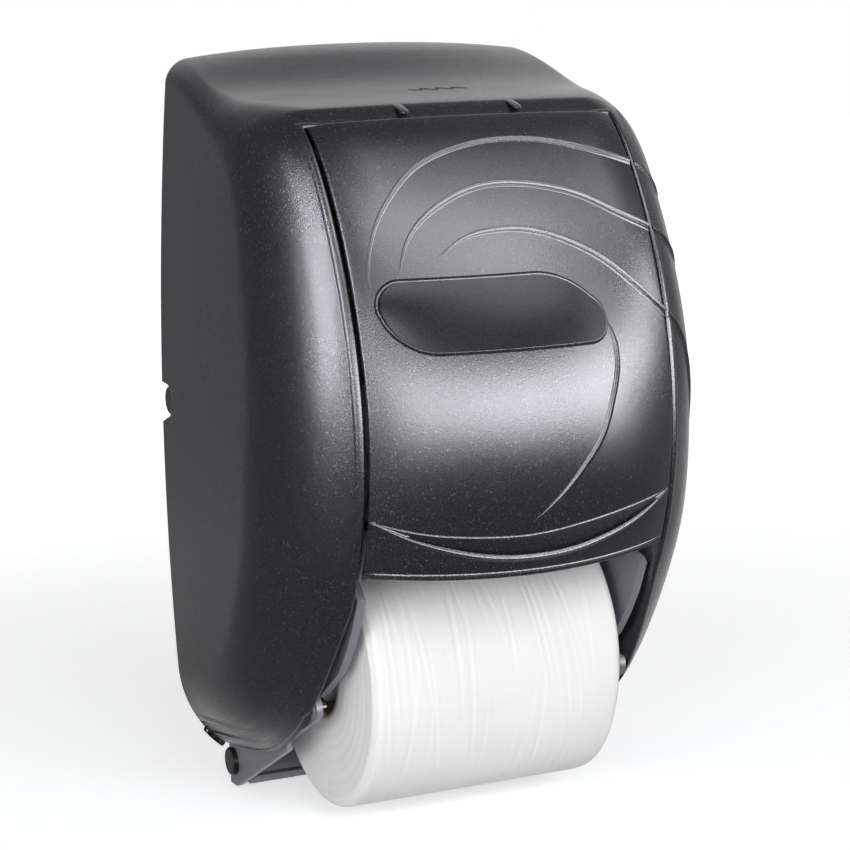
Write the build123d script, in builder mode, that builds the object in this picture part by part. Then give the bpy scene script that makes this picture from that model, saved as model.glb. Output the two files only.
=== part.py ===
from build123d import *
import math
import os

import numpy as np

# Wall dispenser for two standard bath tissue rolls.
# The lower roll is in use and the reserve roll waits above it, behind a tinted cover that
# swings forward and down on two hinge pins.
# Frame: +Z is up, the wall is the plane y = 0, and the front of the cover faces -Y.
# The origin is the middle of the back plate's bottom edge, on the wall.

os.makedirs("parts", exist_ok=True)

# Cover size
cover_half_width = 96.2
widest_z = 118.7
side_bow_radius = 1757.0
cover_wall = 2.5
side_line_x = 67.1

# The cover's cross-sections lie in planes that fan out from this line behind the wall
fan_y = 30.0
fan_z = 144.0
fan_root = 8.0
first_fan_angle = 5.0
last_fan_angle = 171.0
fan_sections = 18
least_corner = 1.5

# Side line of the cover at side_line_x, as (y, z), from the top rear edge round the front
side_line = [
    (30.0, 318.1), (-0.7, 316.6), (-62.0, 298.0), (-103.1, 289.3), (-125.4, 266.1),
    (-145.4, 223.9), (-153.6, 186.1), (-151.7, 144.4), (-141.0, 111.9), (-129.4, 91.2),
    (-112.8, 65.1), (-90.5, 38.5), (-49.9, 19.4), (-13.9, 14.5), (30.0, 8.0),
]

# Corner radius and crown bend (thousandths of 1/mm) of the cross-section at each fan angle
shape_angles = [0, 30, 50, 70, 90, 110, 135, 170]
corner_radii = [17.0, 13.0, 43.5, 60.0, 65.0, 53.0, 57.0, 44.0]
crown_bends = [2.6, 0.6, 1.5, 7.7, 9.2, 6.4, 5.5, 5.9]

# Panel and its opening
opening_half_width = 67.0
panel_gap = 1.2
panel_top_angle = 44.0
panel_bottom_angle = 99.8
panel_wall = 2.2
return_depth = 10.0
return_wall = 2.0
return_end_z = 93.0
ridge_height = 1.3
ridge_width = 3.2
scoop_depth = 1.2

# Lower lip of the cover, seen from the front, as (x, z)
lip_start = (opening_half_width, 100.0)
lip_middle = (71.3, 62.0)
lip_end = (76.3, 20.0)

# Back plate
plate_thickness = 3.0
plate_inset = 12.2
plate_half_width = cover_half_width - plate_inset
plate_top = 300.0
plate_corner = 12.0
bracket_half_width = 73.6
bracket_wall = 2.5
bracket_top = 75.0
bracket_nose = (-73.5, 31.6)
shoulder_z = 44.0
wall_hole_radius = 2.75
wall_hole_spacing_x = 100.0
wall_hole_spacing_z = 210.0
wall_hole_centre_z = 155.0

# Hinge pins, side studs and their heads
hinge_y = -6.0
hinge_z = 11.0
hinge_pin_radius = 2.5
pin_head_radius = 6.2
pin_head_height = 2.3
stud_y = -6.5
stud_z = 172.0
ear_inset = 4.5
ear_outer_x = cover_half_width - ear_inset
ear_height = 26.0
ear_depth = 14.0
notch_radius = 7.2
running_gap = 0.05
side_gap = 0.5

# Hinge arms of the cover
hinge_arm_outer_x = bracket_half_width - bracket_wall - side_gap
hinge_arm_wall = 2.7
hinge_hub_radius = 5.4

# Side rails that carry the spindles
rail_inner_x = 60.6
rail_wall = 3.5
rail_seat_gap = 0.2
rail_web_front_y = -24.0
rail_wing_top_z = 110.0
rail_front_edge = [(-90, 57), (-110, 70), (-119, 80), (-127, 91), (-134, 104), (-128, 110)]
rail_high_z = 218.0
rail_low_z = 50.0
rail_nose_radius = 15.0
rail_foot_width = 12.5
rail_foot_height = 16.0
rail_foot_thickness = 3.0
rail_foot_zs = (108.0, 208.0)
screw_shank_radius = 1.75
screw_head_radius = 3.6
screw_head_height = 2.2

# Rolls and cores
roll_radius = 59.0
roll_half_length = 56.0
core_radius = 21.0
core_wall = 0.7
roll_y = -68.0
lower_roll_z = 63.0
reserve_roll_z = 208.0

# Spindles: the core hangs on the spindle, so the spindle sits above the roll's axis
spindle_radius = 17.0
sleeve_wall = 2.0
plunger_gap = 0.4
sleeve_bore = spindle_radius - sleeve_wall
plunger_radius = sleeve_bore - plunger_gap
hang_gap = 0.3
core_bore = core_radius - core_wall
spindle_lift = core_bore - spindle_radius - hang_gap
spindle_end_x = rail_inner_x - 0.8
sleeve_mouth_x = 22.0
plunger_travel = 10.0
journal_radius = 5.0
journal_gap = 0.3
plunger_tip_x = -12.0
head_start_x = sleeve_mouth_x + plunger_travel + 1.0
spindle_end_wall = 3.0
spring_radius = 11.5
spring_wire_radius = 0.6
spring_coils = 9

# Swing arms that carry the reserve spindle, and the bar that joins them
swing_y = -14.0
swing_z = 186.0
swing_pin_radius = 3.0
swing_hub_radius = 7.0
swing_head_radius = 5.0
journal_hub_radius = 9.0
swing_wall = 2.8
swing_inner_x = rail_inner_x + rail_wall + side_gap
swing_outer_x = swing_inner_x + swing_wall
cross_bar_y = -54.0
cross_bar_z = 140.0
cross_bar_radius = 3.0
cross_bar_hub_radius = 6.5

# Latch under the cover's top
latch_x = 9.5
latch_y = -34.0
latch_z = 287.0
latch_half_width = 12.0
latch_pin_radius = 1.5
latch_hub_radius = 4.5
latch_side_gap = 0.3
cheek_wall = 2.0
lever_front_y = -66.0
tooth_rear_y = -6.5
keeper_lip_y = -11.5
keeper_top_z = 290.5
keeper_wall = 2.0
latch_spring_y = -20.0
latch_spring_radius = 3.4
latch_spring_wire_radius = 0.4
latch_spring_coils = 4

# Name plate on the panel and the raised bead round it
name_plate_proud = 0.8
name_plate_depth = 0.6
name_plate_gap = 0.15
bead_width = 2.0

far = 400.0


# Shape of the cover
def smooth_curve(knots, values):
    """Natural cubic spline through values at knots, as a function."""
    x = np.array(knots, float)
    y = np.array(values, float)
    step = np.diff(x)
    count = len(x)
    matrix = np.eye(count)
    right_side = np.zeros(count)
    for i in range(1, count - 1):
        matrix[i, i - 1 : i + 2] = step[i - 1], 2 * (step[i - 1] + step[i]), step[i]
        rise = (y[i + 1] - y[i]) / step[i] - (y[i] - y[i - 1]) / step[i - 1]
        right_side[i] = 6 * rise
    bend = np.linalg.solve(matrix, right_side)

    def value(at):
        i = int(np.clip(np.searchsorted(x, at) - 1, 0, count - 2))
        a = (x[i + 1] - at) / step[i]
        b = 1 - a
        curve = (a**3 - a) * bend[i] + (b**3 - b) * bend[i + 1]
        return float(a * y[i] + b * y[i + 1] + curve * step[i] ** 2 / 6)

    return value


def fan_angle(y, z):
    """Angle of the point from straight up, seen from the fan line."""
    return math.degrees(math.atan2(fan_y - y, z - fan_z))


side_line_reach = smooth_curve(
    [fan_angle(y, z) for y, z in side_line],
    [math.hypot(fan_y - y, z - fan_z) for y, z in side_line],
)
corner_radius_at = smooth_curve(shape_angles, corner_radii)
crown_bend_at = smooth_curve(shape_angles, crown_bends)


def side_half_width(z):
    """Half width of the cover at a height: its sides bow out like a barrel."""
    return cover_half_width - (z - widest_z) ** 2 / (2 * side_bow_radius)


def fan_plane(angle):
    """Plane through the fan line: its x runs along X and its y away from the line."""
    up = math.cos(math.radians(angle))
    forward = math.sin(math.radians(angle))
    return Plane(origin=(0, fan_y, fan_z), x_dir=(1, 0, 0), z_dir=(0, -up, -forward))


def cross_section(angle, inset):
    """Arc ends and middles of the cover's section, from its side to its crown, moved in by inset."""
    up = math.cos(math.radians(angle))
    reach = side_line_reach(angle)
    half_width = side_half_width(fan_z + reach * up)
    crown = 1000 / crown_bend_at(angle)
    corner = corner_radius_at(angle)
    rise = math.sqrt((crown - corner) ** 2 - (half_width - corner) ** 2)
    join = (half_width - corner) * crown / (crown - corner)
    if side_line_x <= join:
        drop = crown - math.sqrt(crown**2 - side_line_x**2)
    else:
        beyond = side_line_x - (half_width - corner)
        drop = crown - rise - math.sqrt(corner**2 - beyond**2)
    top = reach + drop
    crown_size = crown - inset
    corner_size = max(corner - inset, least_corner)
    side = half_width - inset
    corner_x = side - corner_size
    inner_rise = math.sqrt((crown_size - corner_size) ** 2 - corner_x**2)
    corner_reach = top - crown + inner_rise
    join_angle = math.asin(corner_x / (crown_size - corner_size))

    def bowed(x, out):
        scale = (side_half_width(fan_z + out * up) - inset) / (half_width - inset)
        return (x * scale, out)

    def on_corner(turn):
        return bowed(corner_x + corner_size * math.sin(turn), corner_reach + corner_size * math.cos(turn))

    return {
        "root": bowed(side, fan_root),
        "side": bowed(side, (fan_root + corner_reach) / 2),
        "side_end": bowed(side, corner_reach),
        "corner": on_corner((math.pi / 2 + join_angle) / 2),
        "join": on_corner(join_angle),
        "crown": (0.0, top - crown + crown_size),
    }


def mirrored(point):
    return (-point[0], point[1])


def cover_body(inset):
    """Solid of the cover's outer shape moved in by inset, from the wall to the front."""
    with BuildPart() as body:
        for index in range(fan_sections):
            angle = first_fan_angle + (last_fan_angle - first_fan_angle) * index / (fan_sections - 1)
            at = cross_section(angle, inset)
            with BuildSketch(fan_plane(angle)):
                with BuildLine():
                    ThreePointArc(at["root"], at["side"], at["side_end"])
                    ThreePointArc(at["side_end"], at["corner"], at["join"])
                    ThreePointArc(at["join"], at["crown"], mirrored(at["join"]))
                    ThreePointArc(mirrored(at["join"]), mirrored(at["corner"]), mirrored(at["side_end"]))
                    ThreePointArc(mirrored(at["side_end"]), mirrored(at["side"]), mirrored(at["root"]))
                    Line(mirrored(at["root"]), at["root"])
                make_face()
        loft()
        with BuildSketch(Plane.XZ):
            Rectangle(2 * far, 4 * far)
        extrude(amount=far, mode=Mode.INTERSECT)
    return body.part


outer_form = cover_body(0)
inner_form = cover_body(cover_wall)
panel_inner_form = cover_body(panel_wall)
return_form = cover_body(return_depth)
raised_form = cover_body(-ridge_height)
sunk_form = cover_body(name_plate_depth)
scoop_form = cover_body(scoop_depth)
plate_back_form = cover_body(name_plate_depth - name_plate_gap)
plate_front_form = cover_body(-name_plate_proud)


# Cutting bodies
def outline_body(points):
    """Straight-sided body through the cover from front to back, with an outline of (x, z) points."""
    with BuildPart() as body:
        with BuildSketch(Plane.XZ):
            Polygon(*points, align=None)
        extrude(amount=far)
    return body.part


def slab(low_x, high_x):
    """Everything in front of the wall between two x values."""
    return outline_body([(low_x, -far), (high_x, -far), (high_x, far), (low_x, far)])


def wedge(first_angle, last_angle):
    """Everything between two planes that meet at the fan line."""
    corners = [(fan_y, fan_z)]
    steps = 4
    for index in range(steps + 1):
        angle = math.radians(first_angle + (last_angle - first_angle) * index / steps)
        corners.append((fan_y - far * math.sin(angle), fan_z + far * math.cos(angle)))
    with BuildPart() as body:
        with BuildSketch(Plane.YZ):
            Polygon(*corners, align=None)
        extrude(amount=far / 2, both=True)
    return body.part


def angle_for(length, angle):
    """Fan angle that spans a length on the cover at a fan angle."""
    return math.degrees(length / side_line_reach(angle))


def lip_points(side, shift):
    """Lower lip of the cover from the panel's top down, moved outward by shift."""
    top = (side * (lip_start[0] + shift), far)
    bottom = (side * (lip_end[0] + shift), -far)
    between = [(side * (x + shift), z) for x, z in (lip_start, lip_middle, lip_end)]
    return [top] + between + [bottom]


def side_line_point(angle, depth):
    """Point (y, z) at a depth under the cover's side line at a fan angle."""
    reach = side_line_reach(angle) - depth
    turn = math.radians(angle)
    return fan_y - reach * math.sin(turn), fan_z + reach * math.cos(turn)


# Raised lines of the front, seen from the front as (x, z)
arch_lines = [
    [
        (-58.1, 220.7), (-57.9, 237.1), (-44.4, 259.4), (-18.1, 274.3), (13.0, 278.2),
        (44.9, 272.7), (68.3, 265.3), (83.0, 254.0),
    ],
    [
        (-47.8, 232.7), (-37.3, 248.3), (-10.3, 260.7), (19.6, 259.6), (48.6, 248.2),
        (69.2, 239.4), (84.0, 230.6),
    ],
    [
        (-32.2, 236.2), (-20.9, 242.3), (0.5, 244.4), (24.8, 237.5), (49.8, 220.2),
        (70.3, 204.0), (84.0, 178.0),
    ],
]
swoosh_line = [(30.9, 208.9), (33.3, 190.6), (23.2, 164.7), (8.2, 146.3), (-5.7, 133.2)]
crescent_top = [(-64.2, 137.3), (-37.9, 130.6), (-5.2, 128.8), (34.2, 133.3), (64.1, 137.0)]
crescent_bottom = [(64.1, 136.4), (45.2, 127.8), (15.4, 120.1), (-21.0, 120.5), (-64.2, 136.7)]
plate_arcs = [
    [(3.5, 227.6), (16.0, 224.4), (25.4, 217.6)],
    [(25.4, 217.6), (30.6, 210.2), (28.7, 203.5)],
    [(28.7, 203.5), (25.6, 201.7), (21.5, 201.1)],
    [(-39.3, 201.1), (-50.5, 205.2), (-57.1, 214.4)],
    [(-57.1, 214.4), (-56.6, 223.6), (-50.4, 227.6)],
]


def line_body(points):
    """Band of the ridge width along a smooth line of the front view, from front to back."""
    with BuildPart() as body:
        with BuildSketch(Plane.XZ):
            with BuildLine():
                Spline(*points)
            trace(line_width=ridge_width)
        extrude(amount=far)
    return body.part


def name_plate_body(growth):
    """Outline of the name plate grown by a distance, from front to back."""
    with BuildPart() as body:
        with BuildSketch(Plane.XZ):
            with BuildLine():
                for arc in plate_arcs:
                    ThreePointArc(*arc)
                Line(plate_arcs[2][-1], plate_arcs[3][0])
                Line(plate_arcs[-1][-1], plate_arcs[0][0])
            make_face()
            if growth:
                offset(amount=growth)
        extrude(amount=far)
    return body.part


with BuildPart() as crescent:
    with BuildSketch(Plane.XZ):
        with BuildLine():
            Spline(*crescent_top)
            Line(crescent_top[-1], crescent_bottom[0])
            Spline(*crescent_bottom)
            Line(crescent_bottom[-1], crescent_top[0])
        make_face()
    extrude(amount=far)

front_wedge = wedge(panel_top_angle - 25, 125)
raised_layer = (raised_form - panel_inner_form) & front_wedge
arch_bodies = [line_body(points) for points in arch_lines]
bead_body = name_plate_body(bead_width) - name_plate_body(0)


# Back plate with its bottom bracket and side ears
with BuildPart() as back_plate:
    with BuildSketch(Plane.XZ):
        with Locations((0, plate_top / 2)):
            RectangleRounded(2 * plate_half_width, plate_top, plate_corner)
        with Locations((0, shoulder_z / 2)):
            Rectangle(2 * plate_half_width, shoulder_z, mode=Mode.SUBTRACT)
            Rectangle(2 * bracket_half_width, shoulder_z)
    extrude(amount=plate_thickness)
    for side in (-1, 1):
        with BuildSketch(Plane.YZ.offset(side * (bracket_half_width - bracket_wall / 2))):
            Polygon(
                (0, 0),
                (-8, 0),
                bracket_nose,
                (bracket_nose[0] + 2.5, bracket_nose[1] + 4.9),
                (-40, bracket_nose[1] + 14.4),
                (-plate_thickness, bracket_top),
                (0, bracket_top),
                align=None,
            )
        extrude(amount=bracket_wall / 2, both=True)
    # Bar along the wall that ties the two bracket sides
    with BuildSketch(Plane.YZ):
        Polygon((0, 0), (-8, 0), (-8, 3), (0, 3), align=None)
    extrude(amount=bracket_half_width - bracket_wall, both=True)
    # Ears behind the notches of the cover
    for side in (-1, 1):
        with BuildSketch(Plane.YZ.offset(side * (plate_half_width - 4))):
            with Locations((-ear_depth / 2, stud_z)):
                Rectangle(ear_depth, ear_height)
        extrude(amount=side * (ear_outer_x - plate_half_width + 4))
    # Stiffening ribs between the rails
    for x in (-30.0, 30.0):
        with BuildSketch(Plane.XZ.offset(plate_thickness)):
            with Locations((x, 136)):
                Rectangle(3, 70)
        extrude(amount=3)
    # Slots that clear the hinge arms
    for side in (-1, 1):
        with BuildSketch(Plane.XZ):
            with Locations((side * (hinge_arm_outer_x - hinge_arm_wall / 2), 12)):
                Rectangle(hinge_arm_wall + 2 * side_gap, 25)
        extrude(amount=10, mode=Mode.SUBTRACT)
    # Wall screw holes
    with BuildSketch(Plane.XZ):
        with Locations((0, wall_hole_centre_z)):
            with GridLocations(wall_hole_spacing_x, wall_hole_spacing_z, 2, 2):
                Circle(wall_hole_radius)
    extrude(amount=20, mode=Mode.SUBTRACT)
    # Holes for the hinge pins
    with BuildSketch(Plane.YZ):
        with Locations((hinge_y, hinge_z)):
            Circle(hinge_pin_radius + running_gap)
    extrude(amount=100, both=True, mode=Mode.SUBTRACT)
    # Holes for the side studs
    for side in (-1, 1):
        with BuildSketch(Plane.YZ.offset(side * (ear_outer_x - 8))):
            with Locations((stud_y, stud_z)):
                Circle(hinge_pin_radius + running_gap)
        extrude(amount=side * 20, mode=Mode.SUBTRACT)
    # Holes for the rail screws and the keeper screws
    with BuildSketch(Plane.XZ):
        for side in (-1, 1):
            for z in rail_foot_zs:
                with Locations((side * (rail_inner_x + rail_wall + rail_foot_width / 2), z)):
                    Circle(screw_shank_radius + running_gap)
            with Locations((latch_x + side * 9, keeper_top_z - 16)):
                Circle(screw_shank_radius + running_gap)
    extrude(amount=20, mode=Mode.SUBTRACT)
back_plate.part.label = "back_plate"
export_step(back_plate.part, "parts/back_plate.step")


# Hinge pins, headed outside the bracket
with BuildPart() as hinge_pins:
    for side in (-1, 1):
        with BuildSketch(Plane.YZ.offset(side * (hinge_arm_outer_x - hinge_arm_wall - 0.2))):
            with Locations((hinge_y, hinge_z)):
                Circle(hinge_pin_radius)
        extrude(amount=side * (bracket_half_width - hinge_arm_outer_x + hinge_arm_wall + 0.3))
        with BuildSketch(Plane.YZ.offset(side * (bracket_half_width + 0.1))):
            with Locations((hinge_y, hinge_z)):
                Circle(pin_head_radius)
        extrude(amount=side * pin_head_height)
    rims = hinge_pins.edges().filter_by(GeomType.CIRCLE).sort_by(SortBy.RADIUS)[-4:]
    chamfer(rims.sort_by(Axis.X)[0], 0.5)
    chamfer(rims.sort_by(Axis.X)[-1], 0.5)
hinge_pins.part.label = "hinge_pins"
export_step(hinge_pins.part, "parts/hinge_pins.step")


# Studs in the ears
with BuildPart() as side_studs:
    for side in (-1, 1):
        with BuildSketch(Plane.YZ.offset(side * (ear_outer_x - 7))):
            with Locations((stud_y, stud_z)):
                Circle(hinge_pin_radius)
        extrude(amount=side * 7.2)
        with BuildSketch(Plane.YZ.offset(side * (ear_outer_x + 0.1))):
            with Locations((stud_y, stud_z)):
                Circle(pin_head_radius)
        extrude(amount=side * pin_head_height)
    rims = side_studs.edges().filter_by(GeomType.CIRCLE).sort_by(SortBy.RADIUS)[-4:]
    chamfer(rims.sort_by(Axis.X)[0], 0.5)
    chamfer(rims.sort_by(Axis.X)[-1], 0.5)
side_studs.part.label = "side_studs"
export_step(side_studs.part, "parts/side_studs.step")


# Screws
def screw_points(head_side, points, shank_length):
    """Pan-head screws along Y, heads facing the front, at (x, z) points."""
    with BuildPart() as screws:
        for x, z in points:
            with BuildSketch(Plane.XZ.offset(head_side)):
                with Locations((x, z)):
                    Circle(screw_head_radius)
            extrude(amount=screw_head_height)
            with BuildSketch(Plane.XZ.offset(head_side - shank_length)):
                with Locations((x, z)):
                    Circle(screw_shank_radius)
            extrude(amount=shank_length + 0.5)
        tops = screws.faces().filter_by(Axis.Y).sort_by(Axis.Y)
        chamfer([face.edges()[0] for face in tops[: len(points)]], 0.6)
    return screws.part


# Side rails
def side_rail(side):
    """Upright plate beside the rolls, with feet on the back plate and a nose for the spindle."""
    low_spindle_z = lower_roll_z + spindle_lift
    back_y = -plate_thickness - rail_seat_gap
    with BuildPart() as rail:
        with BuildSketch(Plane.YZ.offset(side * rail_inner_x)):
            Polygon(
                (back_y, rail_low_z),
                (roll_y, low_spindle_z - rail_nose_radius),
                *rail_front_edge,
                (rail_web_front_y, rail_wing_top_z),
                (rail_web_front_y, rail_high_z),
                (back_y, rail_high_z),
                align=None,
            )
            with Locations((roll_y, low_spindle_z)):
                Circle(journal_radius + journal_gap, mode=Mode.SUBTRACT)
            with Locations((swing_y, swing_z)):
                Circle(swing_pin_radius + running_gap, mode=Mode.SUBTRACT)
        extrude(amount=side * rail_wall)
        for z in rail_foot_zs:
            with BuildSketch(Plane.XZ.offset(plate_thickness + rail_seat_gap)):
                with Locations((side * (rail_inner_x + (rail_wall + rail_foot_width) / 2), z)):
                    Rectangle(rail_wall + rail_foot_width, rail_foot_height)
                with Locations((side * (rail_inner_x + rail_wall + rail_foot_width / 2), z)):
                    Circle(screw_shank_radius + running_gap, mode=Mode.SUBTRACT)
            extrude(amount=rail_foot_thickness)
    return rail.part


side_rail_left = side_rail(-1)
side_rail_left.label = "side_rail_left"
export_step(side_rail_left, "parts/side_rail_left.step")

side_rail_right = side_rail(1)
side_rail_right.label = "side_rail_right"
export_step(side_rail_right, "parts/side_rail_right.step")

rail_screws = screw_points(
    plate_thickness + rail_seat_gap + rail_foot_thickness + 0.1,
    [
        (side * (rail_inner_x + rail_wall + rail_foot_width / 2), z)
        for side in (-1, 1)
        for z in rail_foot_zs
    ],
    6.0,
)
rail_screws.label = "rail_screws"
export_step(rail_screws, "parts/rail_screws.step")


# Latch keeper on the back plate
with BuildPart() as latch_keeper:
    keeper_back_y = -plate_thickness - 0.1
    with BuildSketch(Plane.YZ.offset(latch_x)):
        Polygon(
            (keeper_back_y, keeper_top_z - 22),
            (keeper_back_y - keeper_wall, keeper_top_z - 22),
            (keeper_back_y - keeper_wall, keeper_top_z - 9),
            (keeper_lip_y - keeper_wall, keeper_top_z - 9),
            (keeper_lip_y - keeper_wall, keeper_top_z),
            (keeper_lip_y, keeper_top_z),
            (keeper_lip_y, keeper_top_z - 9 + keeper_wall),
            (keeper_back_y, keeper_top_z - 9 + keeper_wall),
            align=None,
        )
    extrude(amount=latch_half_width + 2, both=True)
    with BuildSketch(Plane.XZ):
        for side in (-1, 1):
            with Locations((latch_x + side * 9, keeper_top_z - 16)):
                Circle(screw_shank_radius + running_gap)
    extrude(amount=8, mode=Mode.SUBTRACT)
latch_keeper.part.label = "latch_keeper"
export_step(latch_keeper.part, "parts/latch_keeper.step")

keeper_screws = screw_points(
    plate_thickness + keeper_wall + 0.2,
    [(latch_x + side * 9, keeper_top_z - 16) for side in (-1, 1)],
    4.8,
)
keeper_screws.label = "keeper_screws"
export_step(keeper_screws, "parts/keeper_screws.step")


# Pins that the swing arms turn on, and the friction washers behind the arms
with BuildPart() as swing_pins:
    for side in (-1, 1):
        with BuildSketch(Plane.YZ.offset(side * (rail_inner_x + 0.2))):
            with Locations((swing_y, swing_z)):
                Circle(swing_pin_radius)
        extrude(amount=side * (swing_outer_x - rail_inner_x))
        with BuildSketch(Plane.YZ.offset(side * (swing_outer_x + 0.2))):
            with Locations((swing_y, swing_z)):
                Circle(swing_head_radius)
        extrude(amount=side * 2)
swing_pins.part.label = "swing_pins"
export_step(swing_pins.part, "parts/swing_pins.step")

with BuildPart() as friction_washers:
    for side in (-1, 1):
        with BuildSketch(Plane.YZ.offset(side * (rail_inner_x + rail_wall + 0.05))):
            with Locations((swing_y, swing_z)):
                Circle(swing_hub_radius - 0.5)
                Circle(swing_pin_radius + 0.1, mode=Mode.SUBTRACT)
        extrude(amount=side * (side_gap - 0.1))
friction_washers.part.label = "friction_washers"
export_step(friction_washers.part, "parts/friction_washers.step")


# Swing arms
def swing_arm(side):
    """Flat arm from the pivot to the reserve spindle and down to the cross bar."""
    with BuildPart() as arm:
        with BuildSketch(Plane.YZ.offset(side * swing_inner_x)):
            with Locations((swing_y, swing_z)):
                Circle(swing_hub_radius)
            with Locations((roll_y, reserve_roll_z + spindle_lift)):
                Circle(journal_hub_radius)
            with Locations((cross_bar_y, cross_bar_z)):
                Circle(cross_bar_hub_radius)
            make_hull()
            with Locations((swing_y, swing_z)):
                Circle(swing_pin_radius + running_gap, mode=Mode.SUBTRACT)
            with Locations((roll_y, reserve_roll_z + spindle_lift)):
                Circle(journal_radius + journal_gap, mode=Mode.SUBTRACT)
            with Locations((cross_bar_y, cross_bar_z)):
                Circle(cross_bar_radius + running_gap, mode=Mode.SUBTRACT)
            with Locations((-46, 178)):
                Circle(11, mode=Mode.SUBTRACT)
        extrude(amount=side * swing_wall)
    return arm.part


swing_arm_left = swing_arm(-1)
swing_arm_left.label = "swing_arm_left"
export_step(swing_arm_left, "parts/swing_arm_left.step")

swing_arm_right = swing_arm(1)
swing_arm_right.label = "swing_arm_right"
export_step(swing_arm_right, "parts/swing_arm_right.step")

with BuildPart() as cross_bar:
    with BuildSketch(Plane.YZ):
        with Locations((cross_bar_y, cross_bar_z)):
            Circle(cross_bar_radius)
    extrude(amount=swing_outer_x, both=True)
    with BuildSketch(Plane.YZ):
        with Locations((cross_bar_y, cross_bar_z)):
            Circle(cross_bar_radius + 1.2)
    extrude(amount=swing_inner_x - 0.1, both=True)
cross_bar.part.label = "cross_bar"
export_step(cross_bar.part, "parts/cross_bar.step")


# Spindles
def spindle_sleeve(axis_z, journal_end_x):
    """Hollow half of a spindle, closed at its left end, with the left journal."""
    with BuildPart() as sleeve:
        with BuildSketch(Plane.YZ.offset(-spindle_end_x)):
            with Locations((roll_y, axis_z)):
                Circle(spindle_radius)
        extrude(amount=spindle_end_x + sleeve_mouth_x)
        with BuildSketch(Plane.YZ.offset(-spindle_end_x + spindle_end_wall)):
            with Locations((roll_y, axis_z)):
                Circle(sleeve_bore)
        extrude(amount=2 * far, mode=Mode.SUBTRACT)
        with BuildSketch(Plane.YZ.offset(-journal_end_x)):
            with Locations((roll_y, axis_z)):
                Circle(journal_radius)
        extrude(amount=journal_end_x - spindle_end_x + 1)
        fillet(sleeve.edges().filter_by(GeomType.CIRCLE).sort_by(Axis.X)[2], 1.5)
    return sleeve.part


def spindle_plunger(axis_z, journal_end_x):
    """Sliding half of a spindle, with the right journal."""
    with BuildPart() as plunger:
        with BuildSketch(Plane.YZ.offset(plunger_tip_x)):
            with Locations((roll_y, axis_z)):
                Circle(plunger_radius)
        extrude(amount=spindle_end_x - plunger_tip_x)
        with BuildSketch(Plane.YZ.offset(head_start_x)):
            with Locations((roll_y, axis_z)):
                Circle(spindle_radius)
        extrude(amount=spindle_end_x - head_start_x)
        with BuildSketch(Plane.YZ.offset(plunger_tip_x + spindle_end_wall)):
            with Locations((roll_y, axis_z)):
                Circle(plunger_radius - 2.0)
        extrude(amount=spindle_end_x - plunger_tip_x - 2 * spindle_end_wall, mode=Mode.SUBTRACT)
        with BuildSketch(Plane.YZ.offset(spindle_end_x - 1)):
            with Locations((roll_y, axis_z)):
                Circle(journal_radius)
        extrude(amount=journal_end_x - spindle_end_x + 1)
    return plunger.part


least_spring_gap = far


def coil_spring(origin, along, side, radius, wire_radius, coils, length):
    """Round-wire spring wound from origin, with a straight end at each side."""
    global least_spring_gap
    origin = np.array(origin)
    along = np.array(along)
    side = np.array(side)
    third = np.cross(along, side)
    quarters = 4 * coils
    rise = length - 2 * wire_radius

    def point(turn):
        ring = side * math.cos(turn) + third * math.sin(turn)
        return origin + along * (wire_radius + rise * turn / (2 * math.pi * coils)) + radius * ring

    def heading(turn):
        ring = third * math.cos(turn) - side * math.sin(turn)
        step = along * rise / (2 * math.pi * coils) + radius * ring
        return step / np.linalg.norm(step)

    # Least clear space between one turn and the next, measured on points of the wire's middle
    turns = np.linspace(0, 2 * math.pi * coils, 24 * coils + 1)
    middle = np.array([point(turn) for turn in turns])
    for index in range(len(middle) - 12):
        apart = np.linalg.norm(middle[index + 12 :] - middle[index], axis=1).min()
        least_spring_gap = min(least_spring_gap, apart - 2 * wire_radius)

    with BuildPart() as spring:
        with BuildLine() as wire:
            before = point(0) - heading(0) * 2 * wire_radius
            Line(tuple(before), tuple(point(0)))
            for quarter in range(quarters):
                first = point(quarter * math.pi / 2)
                last = point((quarter + 1) * math.pi / 2)
                first_way = heading(quarter * math.pi / 2)
                last_way = heading((quarter + 1) * math.pi / 2)
                span = last - first
                ways = first_way + last_way
                spread = 2 * (1 - first_way @ last_way)
                lead = (math.sqrt((span @ ways) ** 2 + spread * (span @ span)) - span @ ways) / spread
                knee_one = first + lead * first_way
                knee_two = last - lead * last_way
                middle_way = (knee_two - knee_one) / np.linalg.norm(knee_two - knee_one)
                joint = (knee_one + knee_two) / 2
                TangentArc(tuple(first), tuple(joint), tangent=tuple(first_way))
                TangentArc(tuple(joint), tuple(last), tangent=tuple(middle_way))
            end = 2 * math.pi * coils
            after = point(end) + heading(end) * 2 * wire_radius
            Line(tuple(point(end)), tuple(after))
        with BuildSketch(Plane(origin=tuple(before), z_dir=tuple(heading(0)))):
            Circle(wire_radius)
        sweep(path=wire.wires()[0])
    return spring.part


def spindle_spring(axis_z):
    """Spring between the sleeve's closed end and the plunger's tip."""
    start_x = -spindle_end_x + spindle_end_wall + 0.3
    return coil_spring(
        (start_x, roll_y, axis_z),
        (1, 0, 0),
        (0, 0, 1),
        spring_radius,
        spring_wire_radius,
        spring_coils,
        plunger_tip_x - 0.3 - start_x,
    )


lower_sleeve = spindle_sleeve(lower_roll_z + spindle_lift, rail_inner_x + rail_wall - 0.3)
lower_sleeve.label = "lower_sleeve"
export_step(lower_sleeve, "parts/lower_sleeve.step")

lower_plunger = spindle_plunger(lower_roll_z + spindle_lift, rail_inner_x + rail_wall - 0.3)
lower_plunger.label = "lower_plunger"
export_step(lower_plunger, "parts/lower_plunger.step")

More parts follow.
